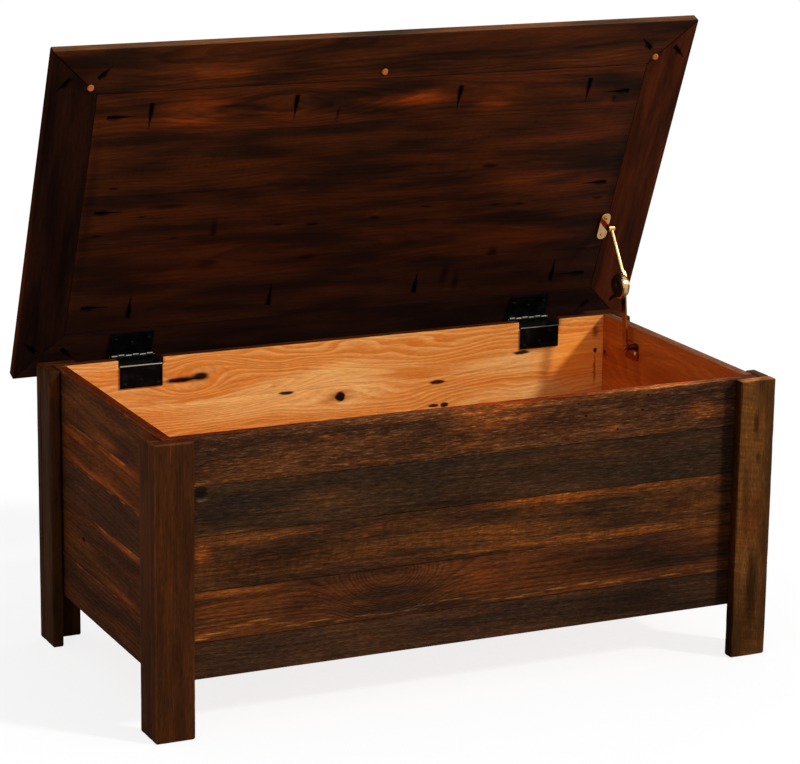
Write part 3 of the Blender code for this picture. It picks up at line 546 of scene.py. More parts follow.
# %% The front wall's finishes
front_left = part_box("post_front_left_face")
front_space = space(Vector((front_left[1].x, front_left[0].y, RIM)), X_AXIS, DOWN)
RIM_TINT = (UP, FLAT, (1.3, 0.72, 0.55))
FRONT_RIM_TINT = (UP, FLAT, (1.6, 0.75, 0.4))
# Painted shade on the front boards, in the corner beside the front right post.
PAINTED_POST_SHADE = (918, 230, 26, 420, (0.42, 0.40, 0.40))
LIVE_EDGE = (
    (9, 314), (43, 307), (79, 300), (112, 295), (143, 305), (171, 311), (207, 309), (250, 313),
    (286, 311), (321, 313), (357, 312), (390, 307), (429, 304), (464, 307), (500, 313), (543, 315),
    (571, 313), (614, 310), (671, 308), (714, 312), (771, 315), (821, 313), (893, 315),
)
LIVE_LINE = tuple((x, y, 26, 1.7, (2.5, 3.6, 3.2), 0.6) for x, y in LIVE_EDGE)
FRONT_LOOKS = (
    dict(
        light=(85, 46, 19), dark=(53, 29, 14), seed=1.3, pith=(420, -90, 60),
        tilt=0.05, ring=6.0, flecks=4.5, streaks=2.6, relief=0.9, cloudiness=1.5, bleach=0.9,
        faces=(FRONT_RIM_TINT,),
        marks=(
            (496, 20, 110, 24, (3.0, 2.4, 1.5)), (600, 34, 160, 30, (0.72, 0.7, 0.75)),
            (868, 42, 50, 26, (2.0, 1.6, 1.1), 0.9), (711, 57, 20, 10, WARM, 0.8),
            (450, 46, 120, 30, (1.7, 1.45, 1.05)), (440, 3, 560, 13, (2.6, 2.2, 1.6), 0.7),
            (290, -2, 330, 4.5, (0.8, 1.7, 3.4), 0.6), (230, 22, 40, 12, (1.9, 1.4, 1.0), 0.9),
            (330, 66, 200, 12, GLOW, 0.9), (646, 13, 2.6, 2.4, SOOT, 0.5, 0.5),
            (659, 34, 2.8, 2.4, SOOT, 0.5, 0.5), (769, 11, 2.6, 2.4, SOOT, 0.5, 0.5),
            (759, 34, 2.8, 2.6, SOOT, 0.5, 0.5), (716, 61, 2.8, 2.4, SOOT, 0.5, 0.5),
            (810, -4, 260, 6.5, (3.8, 6.5, 10.0), 0.5), PAINTED_POST_SHADE,
        ),
    ),
    dict(
        light=(62, 37, 18), dark=(43, 27, 15), seed=7.9, pith=(200, 190, 50),
        tilt=0.03, flecks=3.5, streaks=2.0, relief=0.7, cloudiness=1.5, bleach=0.5,
        marks=(
            (90, 112, 110, 26, (0.62, 0.72, 0.95)), (45, 152, 110, 7, WARM, 0.8),
            (420, 148, 130, 11, STAIN), (220, 120, 110, 28, GLOW),
            (45, 132, 80, 24, (0.6, 0.66, 0.78), 0.8), (17, 82, 12, 5.0, (0.3, 0.3, 0.3), 0.2, 0.8),
            (17, 89, 12, 5.0, (0.3, 0.32, 0.3), 0.2, 0.8), (18, 98, 11, 3.8, (2.6, 3.4, 4.0), 0.5),
            (700, 96, 200, 14, (1.15, 1.0, 0.9), 0.9), (600, 110, 260, 40, (1.25, 1.15, 0.95)), PAINTED_POST_SHADE,
        ),
    ),
    dict(
        light=(86, 46, 16), dark=(50, 28, 13), seed=12.4, pith=(640, 300, 40),
        ring=5.5, chatter=1.9, relief=0.8, flecks=3.6, streaks=2.2, cloudiness=2.0, bleach=0.45,
        marks=(
            (620, 162, 340, 12, (2.2, 1.7, 1.1)), (600, 231, 340, 12, (2.6, 2.1, 1.3), 0.9),
            (480, 205, 170, 30, GLOW), (675, 194, 40, 14, STAIN), (825, 194, 60, 18, STAIN),
            (284, 184, 7, 4.5, (2.6, 1.3, 0.8), 0.7), (20, 182, 20, 24, (2.4, 1.8, 1.1), 0.9),
            (140, 205, 160, 34, (0.42, 0.42, 0.48)), PAINTED_POST_SHADE, (120, 166, 150, 9, GLOW, 0.9),
        ),
    ),
    dict(
        light=(96, 47, 16), dark=(50, 27, 12), seed=3.3, pith=(325, 243, 4),
        tilt=0.0, bow=46.0, bow_length=70, ring=3.4, rings=1.15, relief=0.7, streaks=2.0, flecks=2.5,
        cloudiness=1.6, bleach=0.35,
        marks=(
            (60, 296, 150, 22, (1.4, 1.35, 1.05)), (700, 280, 270, 40, (0.42, 0.46, 0.52)),
            (50, 247, 120, 9, (1.9, 1.8, 1.2), 0.9), (480, 272, 34, 16, (1.5, 1.25, 0.9)),
            (14, 310, 34, 7, (2.3, 2.1, 1.4), 0.9), (200, 270, 60, 20, (0.7, 0.66, 0.66)), *LIVE_LINE,
            PAINTED_POST_SHADE,
        ),
    ),
    dict(
        light=(70, 41, 21), dark=(44, 27, 16), seed=21.7, pith=(500, 420, 60),
        ring=5.5, relief=0.8, streaks=2.2, flecks=3.6, cloudiness=1.6, bleach=0.4,
        marks=(
            (480, 331, 70, 9, (1.9, 1.4, 1.0), 0.9), (740, 350, 260, 44, (0.34, 0.38, 0.44), 0.98),
            (90, 348, 120, 24, (0.85, 0.9, 0.95)), PAINTED_POST_SHADE,
        ),
    ),
)
front_finishes = [
    oak(f"front_board_{index + 1}_oak", front_space, **look) for index, look in enumerate(FRONT_LOOKS)
]
print("front finishes:", len(front_finishes))

# %% [markdown]
# The left end is softer and greyer, with warm bands where two boards meet.

# %% The left end's finishes
back_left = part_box("post_back_left_side")
left_space = space(Vector((back_left[0].x, back_left[0].y, RIM)), -Y_AXIS, DOWN)
LEFT_TONES = (
    ((96, 50, 20), (68, 35, 16)), ((106, 52, 17), (74, 36, 14)), ((78, 42, 19), (58, 33, 20)),
    ((92, 47, 18), (60, 32, 16)), ((84, 43, 19), (58, 32, 17)),
)
BAND = (2.3, 1.8, 1.15)
LEFT_MARKS = (
    ((160, 64, 200, 12, GLOW, 0.9), (330, 16, 40, 3, GLOW, 0.8)),
    (
        (270, 84, 150, 7, BAND, 0.9), (60, 90, 100, 12, GLOW, 0.9),
        (180, 137, 230, 10, BAND, 0.9), (120, 144, 60, 5, PALE, 0.8),
    ),
    ((200, 182, 240, 22, (0.72, 0.78, 0.95), 0.9), (90, 170, 60, 6, PALE, 0.9)),
    (
        (94, 253, 9, 6, SOOT, 0.6, 0.3), (250, 215, 180, 9, BAND, 0.9), (240, 292, 190, 9, BAND, 0.9),
        (180, 265, 60, 20, (0.7, 0.8, 0.9), 0.9),
    ),
    ((150, 340, 180, 20, (0.8, 0.8, 0.85), 0.9),),
)
LEFT_ARRIS_TINT = ((UP - X_AXIS).normalized(), ARRIS, (3.0, 3.4, 3.8))
left_finishes = [
    oak(
        f"left_end_board_{index + 1}_oak", left_space, *tones, seed=31.0 + 5.3 * index,
        pith=(180, 60 + 90 * index, 45), tilt=0.03, ring=5.5, relief=0.7, marks=marks, specular=0.02,
        streaks=1.3, flecks=2.6, cloudiness=2.0, bleach=0.15, faces=(RIM_TINT, LEFT_ARRIS_TINT),
    )
    for index, (tones, marks) in enumerate(zip(LEFT_TONES, LEFT_MARKS))
]
print("left finishes:", len(left_finishes))

# %% [markdown]
# The back and the right end don't show in the photo. They are the same kind of boards, so they get the same
# kind of tones in another order, with their own rings and a few marks.

# %% The back's and the right end's finishes
back_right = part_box("post_back_right_face")
back_space = space(Vector((back_right[0].x, back_right[1].y, RIM)), -X_AXIS, DOWN)
front_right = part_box("post_front_right_side")
right_space = space(Vector((front_right[1].x, front_right[1].y, RIM)), Y_AXIS, DOWN)
BACK_TONES = (
    ((92, 58, 32), (60, 40, 25)), ((100, 58, 29), (60, 36, 21)), ((66, 46, 30), (44, 34, 25)),
    ((94, 60, 33), (58, 38, 24)), ((74, 46, 27), (46, 32, 22)),
)
BACK_MARKS = (
    ((210, 30, 90, 20, GLOW, 0.9), (640, 44, 5, 4, SOOT, 0.5, 0.5)),
    ((520, 110, 120, 22, GLOW, 0.9), (130, 120, 9, 6, SOOT, 0.6, 0.3)),
    ((300, 190, 180, 18, BLUE, 0.9), (760, 200, 60, 16, WARM, 0.9)),
    ((420, 252, 230, 12, WARM, 0.9), (700, 270, 7, 5, SOOT, 0.6, 0.4)),
    ((180, 340, 160, 20, STAIN, 0.9),),
)
RIGHT_RIM_TINT = (UP, FLAT, (4.2, 3.6, 3.4))
back_finishes = [
    oak(
        f"back_board_{index + 1}_oak", back_space, *tones, seed=61.0 + 4.7 * index,
        pith=(260 + 110 * index, 40 + 80 * index, 8 + 10 * index), bow=30.0 if index in (1, 3) else 0.0,
        ring=5.5, chatter=0.4 if index == 2 else 0.0, relief=0.8, marks=marks, faces=(RIM_TINT,),
    )
    for index, (tones, marks) in enumerate(zip(BACK_TONES, BACK_MARKS))
]
right_finishes = [
    oak(
        f"right_end_board_{index + 1}_oak", right_space, *BACK_TONES[4 - index], seed=91.0 + 6.1 * index,
        pith=(150 + 60 * index, 70 * index, 30), tilt=0.04, ring=5.5, relief=0.8,
        marks=tuple((x * 0.4, *rest) for x, *rest in BACK_MARKS[index]), faces=(RIGHT_RIM_TINT,),
    )
    for index in range(5)
]
print("back and right finishes:", len(back_finishes) + len(right_finishes))

# %% [markdown]
# ## Inside
# Inside, the oak keeps its own honey colour. The back wall shows most of it: light swirls, a double knot
# near the left, a round knot with a dark halo in the middle, a few slits, and a nail hole with a rusty run
# below it.

# %% The inside's finishes
inner_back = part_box("back_board_1")
inner_left_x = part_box("left_end_board_1")[1].x
inner_back_space = space(Vector((inner_left_x, inner_back[0].y, RIM)), X_AXIS, DOWN)
HONEY = ((255, 194, 114), (228, 134, 50))
RUST = (0.5, 0.28, 0.15)
SLIT = (0.04, 0.03, 0.02)
INSIDE = dict(
    ring=5.6, wander=90.0, rings=0.0, ring_tone=0.55, balance=0.56, pores=0.2, streaks=0.8, flecks=0.9,
    rough=(0.4, 0.6), specular=0.08, relief=0.15,
)
inside_back = oak(
    "inside_back_oak", inner_back_space, *HONEY, **INSIDE, seed=5.1, pith=(293, 60, 6), bow=22.0,
    bow_length=150, knots=((195, 40, 16), (232, 40, 14), (479, 98, 16)),
    marks=(
        (479, 98, 46, 17, (0.6, 0.36, 0.18), 0.98), (212, 41, 50, 10, (0.32, 0.16, 0.08), 0.98),
        # Next line, first mark: painted warm bounce light in the shadow at the right end.
        (930, 70, 110, 80, (1.24, 0.86, 0.38), 0.9), (760, 100, 90, 10, (0.94, 0.78, 0.6), 0.9),
        (120, 24, 50, 8, (0.92, 0.72, 0.5), 0.9), (640, 20, 120, 6, (0.95, 0.8, 0.62), 0.9),
        (192, 42, 34, 6, (0.03, 0.02, 0.01), 0.6, 0.2), (229, 39, 20, 9, (0.03, 0.02, 0.01), 0.6, 0.2),
        (214, 42, 40, 3, SLIT, 0.8), (479, 98, 11.5, 11, (0.02, 0.01, 0.01), 0.4, 0.5),
        (381, 82, 18, 3.8, SLIT, 0.5, 0.3), (659, 90, 18, 4.6, SLIT, 0.5, 0.3),
        (652, 131, 12, 3.6, SLIT, 0.4, 0.3), (673, 131, 10, 5.6, SLIT, 0.4, 0.3),
        (819, 53, 20, 4.4, SLIT, 0.5, 0.3), (962, 28, 9, 16, (0.45, 0.32, 0.25), 0.8),
        (962, 62, 4.5, 5, (0.06, 0.04, 0.04), 0.4, 0.6), (962, 96, 4, 40, (0.4, 0.26, 0.2), 0.9),
        # Last mark: painted shade in the corner, where the wall runs on behind the left end.
        (-30, 50, 31, 900, (0.22, 0.16, 0.14), 0.1),
    ),
)
floor_space = space(Vector((inner_left_x, inner_back[0].y, 0.0)), X_AXIS, -Y_AXIS)
LEFT_HONEY, FLOOR_HONEY = ((232, 156, 80), (206, 116, 46)), ((234, 164, 90), (214, 138, 68))
KNOTTED = {
    "front": (front_space, HONEY, 44.1, (600, 60, 8), 20.0, (300, 90, 12), (9, 6)),
    "left": (left_space, LEFT_HONEY, 52.3, (150, 40, 12), 18.0, (260, 120, 10), (8, 5)),
    "floor": (floor_space, FLOOR_HONEY, 71.7, (420, 200, 20), 18.0, (620, 300, 14), (10, 7)),
}
inside_front, inside_left, inside_floor = [
    oak(
        f"inside_{name}_oak", place, *tones, **INSIDE, seed=seed, pith=pith, bow=bow, knots=(knot,),
        marks=((*knot[:2], *sizes, RUST, 0.6, 0.3),),
    )
    for name, (place, tones, seed, pith, bow, knot, sizes) in KNOTTED.items()
]
inside_right = oak(
    "inside_right_oak", right_space, (212, 116, 44), (186, 88, 28), **{**INSIDE, "ring_tone": 0.4},
    seed=58.9, pith=(220, 60, 12), bow=16.0,
    marks=((426, 64, 4, 4, SLIT, 0.5, 0.4), (426, 68, 12, 9, RUST, 0.9)),
)
print("inside finishes ready")

# %% [markdown]
# ## Boards with worn edges
# Every wall board and post board is the same kind of thing: a long block whose arrises have been rounded
# and knocked about. One Geometry Nodes tree makes them all. It starts from a cube with a grid on each face,
# pulls the outer rows of the grid into a rounding, and then lets two kinds of noise wear the surface, a
# slow one for the faces and a sharp one that only bites at the edges. Wear only ever takes wood away, so a
# board never leaves the place that the CAD gives it.

# %% Geometry tree: a weathered board
EDGE_ROWS = 4.0
SLOW_WEAR, BITES = (9.0, 9.0, 9.0), (34.0, 34.0, 34.0)
BITE_STEP, ARRIS_STEP = (0.42, 0.75), (1.0, 0.75)
FACES_IN = 0.8
worn, given, give = new_group(
    "weathered_board",
    "GeometryNodeTree",
    "Vector Centre, Vector Size, Float Rounding, Float Face Wear, Float Edge Wear, Float Spacing, "
    "Float Seed, Vector Inward, Material Outside, Material Inside",
    "Geometry Geometry",
)
counts = [reckon("FLOOR", length / given["Spacing"]) + (EDGE_ROWS + 2.0) for length in split(given["Size"])]
sockets = {"Size": (2.0, 2.0, 2.0), **{f"Vertices {axis}": rows for axis, rows in zip("XYZ", counts)}}
block = wire(worn, "GeometryNodeMeshCube", sockets, "Mesh")
place = wire(worn, "GeometryNodeInputPosition")
steps = wire(worn, "ShaderNodeCombineXYZ", dict(enumerate(counts))) - 1.0
flat_share = 1.0 - EDGE_ROWS / steps
reach = reckon("ABSOLUTE", place)
side = reckon("SIGN", place)
core = given["Size"] * 0.5 - given["Rounding"]
inner = reckon("MINIMUM", reach, flat_share) / flat_share * core * side
beyond = reckon("MAXIMUM", reach - flat_share, 0.0) / (1.0 - flat_share)
outward = reckon("NORMALIZE", beyond * side)
shell = inner + outward * given["Rounding"]
spread = split(reckon("ABSOLUTE", outward))
flatness = reckon("MAXIMUM", reckon("MAXIMUM", spread[0], spread[1]), spread[2])
edgeness = ramp(flatness, *ARRIS_STEP)
bites = ramp(noise(shell, BITES, given["Seed"], 3.0, 0.6), *BITE_STEP)
worn_faces = noise(shell, SLOW_WEAR, given["Seed"], 3.0) * given["Face Wear"]
depth = worn_faces + bites * edgeness * given["Edge Wear"]
final = shell - outward * depth + given["Centre"]
shaped = wire(worn, "GeometryNodeSetPosition", {"Geometry": block, "Position": final})
smooth = wire(worn, "GeometryNodeSetShadeSmooth", {"Geometry": shaped, "Shade Smooth": True})
real = wire(worn, "GeometryNodeRealizeInstances", {"Geometry": smooth})
painted = wire(worn, "GeometryNodeSetMaterial", {"Geometry": real, "Material": given["Outside"]})
turned_in = reckon("DOT_PRODUCT", wire(worn, "GeometryNodeInputNormal"), given["Inward"])
faces_in = reckon("GREATER_THAN", turned_in, FACES_IN)
sockets = {"Geometry": painted, "Selection": faces_in, "Material": given["Inside"]}
give("Geometry", wire(worn, "GeometryNodeSetMaterial", sockets))


def grow(name, tree, values, points=(), turns=()):
    """Runs a geometry tree on some points and keeps the result as a plain mesh at the origin."""
    seeds = bpy.data.meshes.new(name + "_seeds")
    seeds.from_pydata([tuple(point) for point in points], [], [])
    if turns:
        angles = seeds.attributes.new("facing", "FLOAT_VECTOR", "POINT")
        angles.data.foreach_set("vector", [angle for turned in turns for angle in turned])
    holder = linked(name + "_holder", seeds)
    modifier = holder.modifiers.new("shape", "NODES")
    modifier.node_group = tree
    for item in tree.interface.items_tree:
        if item.item_type == "SOCKET" and item.in_out == "INPUT" and item.name in values:
            modifier[item.identifier] = values[item.name]
    bpy.context.view_layer.update()
    graph = bpy.context.evaluated_depsgraph_get()
    mesh = bpy.data.meshes.new_from_object(holder.evaluated_get(graph), depsgraph=graph)
    bpy.data.objects.remove(holder)
    mesh.name = name
    return linked(name, mesh)


print("weathered board tree:", len(worn.nodes), "nodes")

# %% [markdown]
# ## The four walls
# Each wall board takes the box of its CAD node, drawn in by a hair on the outside, because old boards are
# never quite the same thickness. In the back wall and the right end each board also laps a little behind
# the next, so that no light shows between them. The top board of the back wall has two notches for the
# hinge leaves, which a Boolean modifier cuts.

# %% Wall boards
WALLS = (
    ("front", Y_AXIS, front_finishes, inside_front),
    ("back", -Y_AXIS, back_finishes, inside_back),
    ("left_end", X_AXIS, left_finishes, inside_left),
    ("right_end", -X_AXIS, right_finishes, inside_right),
)
DRAWN_IN = (0.1, 0.5, 0.2, 0.6, 0.3)
LAP = 0.4 * MM
TIGHT_WALLS = ("back", "right_end")
WALL_WEAR = {"Rounding": 0.6 * MM, "Face Wear": 0.5 * MM, "Edge Wear": 0.4 * MM, "Spacing": 9.0 * MM}
TIGHT_WEAR = {"Rounding": 0.14 * MM, "Face Wear": 0.10 * MM, "Edge Wear": 0.04 * MM}
NOTCH_LIMITS = (0.42, 0.03)
CLEAR = 0.01
BOX_FACES = ((3, 2, 1, 0), (4, 5, 6, 7), (0, 1, 5, 4), (1, 2, 6, 5), (2, 3, 7, 6), (3, 0, 4, 7))


def weathered(name, low, high, values):
    """A weathered board in a box, in the place of the CAD node of that name."""
    sizes = {"Centre": (low + high) / 2, "Size": high - low}
    piece = grow("worn_" + name, worn, {**sizes, **values})
    if name == "back_board_1":
        cut_notches(piece, values["Outside"])
    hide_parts(name)
    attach(piece, "box")
    return len(piece.data.polygons)


def cut_notches(board, finish):
    """Cuts the two hinge notches, read from the CAD board's own vertices, and keeps the mesh."""
    widest, deepest = NOTCH_LIMITS
    inner = [vertex.co for vertex in nodes["back_board_1"].data.vertices if abs(vertex.co.x) < widest]
    notch_floor = min(point.z for point in inner if point.z > RIM - deepest)
    low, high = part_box("back_board_1")
    corners, faces = [], []
    for side in (-1.0, 1.0):
        ends = [point.x for point in inner if point.x * side > 0 and abs(point.z - notch_floor) < 0.5 * MM]
        start = len(corners)
        for z in (notch_floor, RIM + CLEAR):
            corners += [(x, low.y - CLEAR, z) for x in (min(ends), max(ends))]
            corners += [(x, high.y + CLEAR, z) for x in (max(ends), min(ends))]
        faces += [[start + corner for corner in face] for face in BOX_FACES]
    cutter_mesh = bpy.data.meshes.new("notch_cutter")
    cutter_mesh.from_pydata(corners, [], faces)
    cutter_mesh.materials.append(finish)
    cutter = linked("notch_cutter", cutter_mesh)
    cut = board.modifiers.new("notches", "BOOLEAN")
    cut.operation = "DIFFERENCE"
    cut.object = cutter
    cut.solver = "EXACT"
    cut.material_mode = "TRANSFER"
    graph = bpy.context.evaluated_depsgraph_get()
    notched = bpy.data.meshes.new_from_object(board.evaluated_get(graph), depsgraph=graph)
    board.modifiers.clear()
    board.data = notched
    bpy.data.objects.remove(cutter)
    print("notches cut down to", round(notch_floor, 4))


wall_faces = 0
for wall, inward, finishes, inside in WALLS:
    for index, finish in enumerate(finishes):
        low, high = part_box(f"{wall}_board_{index + 1}")
        for axis in range(3):
            if inward[axis] > 0:
                low[axis] += DRAWN_IN[index] * MM
            if inward[axis] < 0:
                high[axis] -= DRAWN_IN[index] * MM
        values = {**WALL_WEAR, "Inward": inward, "Outside": finish, "Inside": inside}
        values["Seed"] = 3.0 * index + 17.0 * len(wall)
        if wall in TIGHT_WALLS:
            high.z += LAP if index else 0.0
            values.update(TIGHT_WEAR)
        wall_faces += weathered(f"{wall}_board_{index + 1}", low, high, values)
print("wall boards made, faces:", wall_faces)

# %% [markdown]
# ## Posts
# The posts are smoother than the walls and redder. The front left one is dark with a lighter worn arris,
# the front right one is golden brown with slanting saw marks, and the back left one is greyish with an
# orange streak.

# %% Post boards
POST_TOP_TINT = (UP, FLAT, (1.25, 0.95, 0.9))
ARRIS_TINT = (Vector((-1.0, -1.0, 0.0)).normalized(), ARRIS, (1.9, 1.75, 1.7))
TOP_ARRIS_TINT = ((UP - Y_AXIS).normalized(), ARRIS, (2.0, 2.4, 2.8))
END_ARRIS_TINT = ((UP - X_AXIS).normalized(), ARRIS, (2.0, 2.4, 2.8))
POSTS = {
    "post_front_left": dict(
        light=(72, 36, 13), dark=(52, 26, 10),
        faces=(POST_TOP_TINT, ARRIS_TINT, TOP_ARRIS_TINT, END_ARRIS_TINT),
        marks=((445, 26, 20, 2, (2.2, 1.6, 1.0), 0.8), (300, 30, 160, 26, (1.15, 1.1, 1.0))),
    ),
    "post_front_right": dict(
        light=(96, 56, 21), dark=(58, 34, 13), chatter=2.2, streaks=0.6, pores=0.3, rings=0.1, bleach=0.3,
        # Left side face: partly its own dark red, partly painted shade in the corner by the front wall.
        faces=((UP, FLAT, (4.2, 4.3, 6.2)), (-X_AXIS, FLAT, (0.36, 0.27, 0.3))),
        marks=(
            (390, 30, 30, 8, (0.3, 0.3, 0.3)), (335, 36, 14, 7, (0.4, 0.4, 0.4)),
            (110, 34, 90, 12, (0.5, 0.48, 0.46)), (230, 30, 70, 40, (0.95, 0.74, 0.62)),
            (50, 30, 120, 60, (0.5, 0.5, 0.55)), (400, 52, 90, 16, (1.5, 1.4, 1.2)),
        ),
    ),
    "post_back_left": dict(
        light=(70, 38, 17), dark=(46, 27, 13),
        marks=((432, 4, 30, 9, (2.0, 1.35, 0.8), 0.9), (380, 6, 60, 5, (1.5, 1.2, 0.9), 0.9)),
    ),
    "post_back_right": dict(light=(80, 46, 20), dark=(52, 31, 15), chatter=2.5),
}
SIDE_CHANGES = {"post_front_right": dict(
    light=(34, 18, 9), dark=(24, 12, 7), chatter=0.0, marks=(), faces=((UP, FLAT, (7.0, 6.5, 5.0)),),
)}
POST_WEAR = {"Rounding": 3.0 * MM, "Face Wear": 0.3 * MM, "Edge Wear": 1.2 * MM, "Spacing": 7.0 * MM}
POST_OAK = dict(
    pith=(230, 90, 25), tilt=0.03, rings=0.3, flecks=1.5, streaks=1.3, cloudiness=2.0, specular=0.025,
    faces=(POST_TOP_TINT,),
)
post_faces = 0
for index, (post, look) in enumerate(POSTS.items()):
    for board_name, across in (("face", X_AXIS), ("side", Y_AXIS)):
        name = f"{post}_{board_name}"
        low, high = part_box(name)
        is_side = board_name == "side"
        seed = 101.0 + 7.7 * index + (3.1 if is_side else 0.0)
        changes = SIDE_CHANGES.get(post, {}) if is_side else {}
        finish = oak(name + "_oak", space(low, UP, across), **{**POST_OAK, "seed": seed, **look, **changes})
        values = {**POST_WEAR, "Seed": seed, "Inward": (0.0, 0.0, 0.0), "Outside": finish, "Inside": finish}
        post_faces += weathered(name, low, high, values)
print("post boards made, faces:", post_faces)

# %% [markdown]
# ## The lid
# The lid's boards keep their CAD shape, because the mitres and the screw pockets are cut into it. The
# pockets are drilled at a low angle, and the screw at the deep end of each pulls two boards together. Along
# the front and the back the screws pull the panel against the rails, at the ends against the stiles, and
# two cross at each mitre. Lists of places along each side are enough, because a pocket always points at its
# own edge.

# %% Where the lid's screw pockets lie
HEAD_DEPTH = 12.2 * MM
FRAME_WIDTH = 79.0 * MM
RAIL_SEAT, RAIL_STEP = 0.81, 17.0 * MM
STILE_SEAT, STILE_STEP = 0.515, 10.0 * MM
rows = (
    ((0.0, -1.0), -474.5, (-387.2, -143.7, 142.7, 379.4)),
    ((0.0, 1.0), -69.0, (-375.0, -130.3, 135.1, 395.1)),
)
columns = (
    ((-1.0, 0.0), -458.0, (-452.5, -277.6, -96.2)),
    ((1.0, 0.0), 458.0, (-445.5, -266.4, -81.6)),
)
pockets = [(way, x * MM, y * MM) for way, y, places in rows for x in places]
pockets += [(way, x * MM, y * MM) for way, x, places in columns for y in places]
lid_span = span("lid_stile_right", lid_space)
for side in (-1.0, 1.0):
    for end, edge in ((-1.0, lid_span[0].y), (1.0, lid_span[1].y)):
        corner = Vector((side * lid_span[1].x, edge))
        inward = Vector((-side, -end)) * FRAME_WIDTH
        way = Vector((side, -end)).normalized()
        pockets.append((tuple(way), *(corner + inward * RAIL_SEAT - way * RAIL_STEP)))
        pockets.append((tuple(-way), *(corner + inward * STILE_SEAT + way * STILE_STEP)))
print("pockets:", len(pockets))

# %% [markdown]
# The grain of a lid board is described in the lid's own space, which turns with the lid. The stain is satin.
# The panel and the rails get painted shade along their joints with the two stiles, at both ends, and every
# pocket gets painted shade where it opens.

# %% A finish for a lid board
lid_grain = space(lid_corner, X_AXIS, LID_FORWARD)
stile_grain = space(lid_corner, LID_FORWARD, X_AXIS)
LID_OUT = (lid_space.to_3x3() @ UP).normalized()
# Painted shade where the screw pockets open, sized along and across each pocket.
POCKET_SHADE = (0.25, 0.24, 0.26)
POCKET_SHADE_OFF = 13 * MM
POCKET_SHADE_LONG, POCKET_SHADE_SHORT, POCKET_SHADE_SLANTED = 19, 8.0, 9
# Painted shade along the joints of the panel and the rails with the two stiles.
PAINTED_STILE_JOINT_SHADE = ((90, 300, 16, 230, (0.62, 0.62, 0.68)), (1034, 300, 18, 230, (0.6, 0.6, 0.66)))
LID_OAK = dict(
    rough=(0.35, 0.55), specular=0.03, relief=0.2, rings=0.5, pores=0.4, flecks=1.2, streaks=1.2, ring=6.0,
    wander=55.0, cloudiness=1.8, seed=6.1, underside=-LID_OUT, marks=(),
)


def pocket_shades(node):
    """Painted shade round the mouths of the screw pockets of one lid board."""
    low, high = span(node, lid_space)
    marks = []
    for (way_x, way_y), x, y in pockets:
        x, y = x - way_x * POCKET_SHADE_OFF, y - way_y * POCKET_SHADE_OFF
        if not (low.x < x < high.x and low.y < y < high.y):
            continue
        sizes = [POCKET_SHADE_LONG if abs(way) > 0.5 else POCKET_SHADE_SHORT for way in (way_x, way_y)]
        if min(abs(way_x), abs(way_y)) > 0.5:
            sizes = [POCKET_SHADE_SLANTED] * 2
        spot = [(x - lid_low.x) / MM, (y - lid_low.y) / MM]
        if "stile" in node:
            spot, sizes = spot[::-1], sizes[::-1]
        marks.append((*spot, *sizes, POCKET_SHADE, 0.75))
    return tuple(marks)


def dress(name, finish):
    """Gives a CAD node a finish."""
    for material_slot in nodes[name].material_slots:
        material_slot.material = finish


def lid_oak(node, light, dark, **changes):
    """Gives one lid board its satin stain."""
    look = {**LID_OAK, **changes}
    look["marks"] = (*look["marks"], *pocket_shades(node))
    place = stile_grain
    if "stile" not in node:
        # Rails and panel boards get the painted shade next to the stiles.
        look["marks"] += PAINTED_STILE_JOINT_SHADE
        place = lid_grain
    dress(node, oak(node + "_oak", place, light, dark, **look))


print("lid shaded at both ends, marks:", len(PAINTED_STILE_JOINT_SHADE))

# %% [markdown]
# The front rail and the first panel board show warm clouds and the arches of flat-sawn oak. The edge of the
# lid that faces the front is rubbed lighter, and each bumper sits in a faint dark ring.

# %% The lid's boards
DARK_SLIT = (0.25, 0.22, 0.22)
LID_EDGE_TINT = (-LID_FORWARD, FLAT, (2.8, 4.2, 4.8))
# Painted light: the lid's left end, which the lamp does not reach, is made lighter.
LID_END_PAINTED_LIGHT = (-X_AXIS, FLAT, (2.8, 2.0, 1.3))
BUMPER_RINGS = tuple((x, 65, 9.5, 9.5, (0.45, 0.42, 0.42), 0.5) for x in (65, 557, 1051))
lid_oak(
    "lid_rail_front", (76, 34, 12), (36, 18, 8), seed=2.2, pith=(360, 10, 12), bow=20.0, rings=0.7,
    faces=(LID_EDGE_TINT,),
    marks=(
        (285, 54, 80, 14, (3.0, 2.3, 1.4)), (270, 50, 170, 26, GLOW, 0.9),
        (420, 44, 60, 10, (0.6, 0.62, 0.65), 0.9), (900, 55, 190, 24, GLOW),
        (700, 30, 120, 18, (0.75, 0.75, 0.75)), (20, 40, 95, 60, (0.55, 0.52, 0.6)), *BUMPER_RINGS,
    ),
)
lid_oak(
    "lid_rail_back", (44, 21, 12), (27, 13, 9), seed=8.4, pith=(560, 640, 30), rings=0.3,
)
lid_oak(
    "lid_stile_left", (38, 18, 10), (21, 11, 8), seed=9.9, pith=(300, 40, 30), rings=0.15, specular=0.0,
    faces=(LID_END_PAINTED_LIGHT,), marks=((330, 46, 200, 26, (0.8, 0.78, 0.85)),),
)
lid_oak(
    "lid_stile_right", (80, 33, 12), (46, 20, 9), seed=4.8, pith=(300, 1080, 20), rings=0.2, streaks=1.3,
    specular=0.015, marks=((300, 1046, 240, 14, (0.62, 0.62, 0.66)),),
)
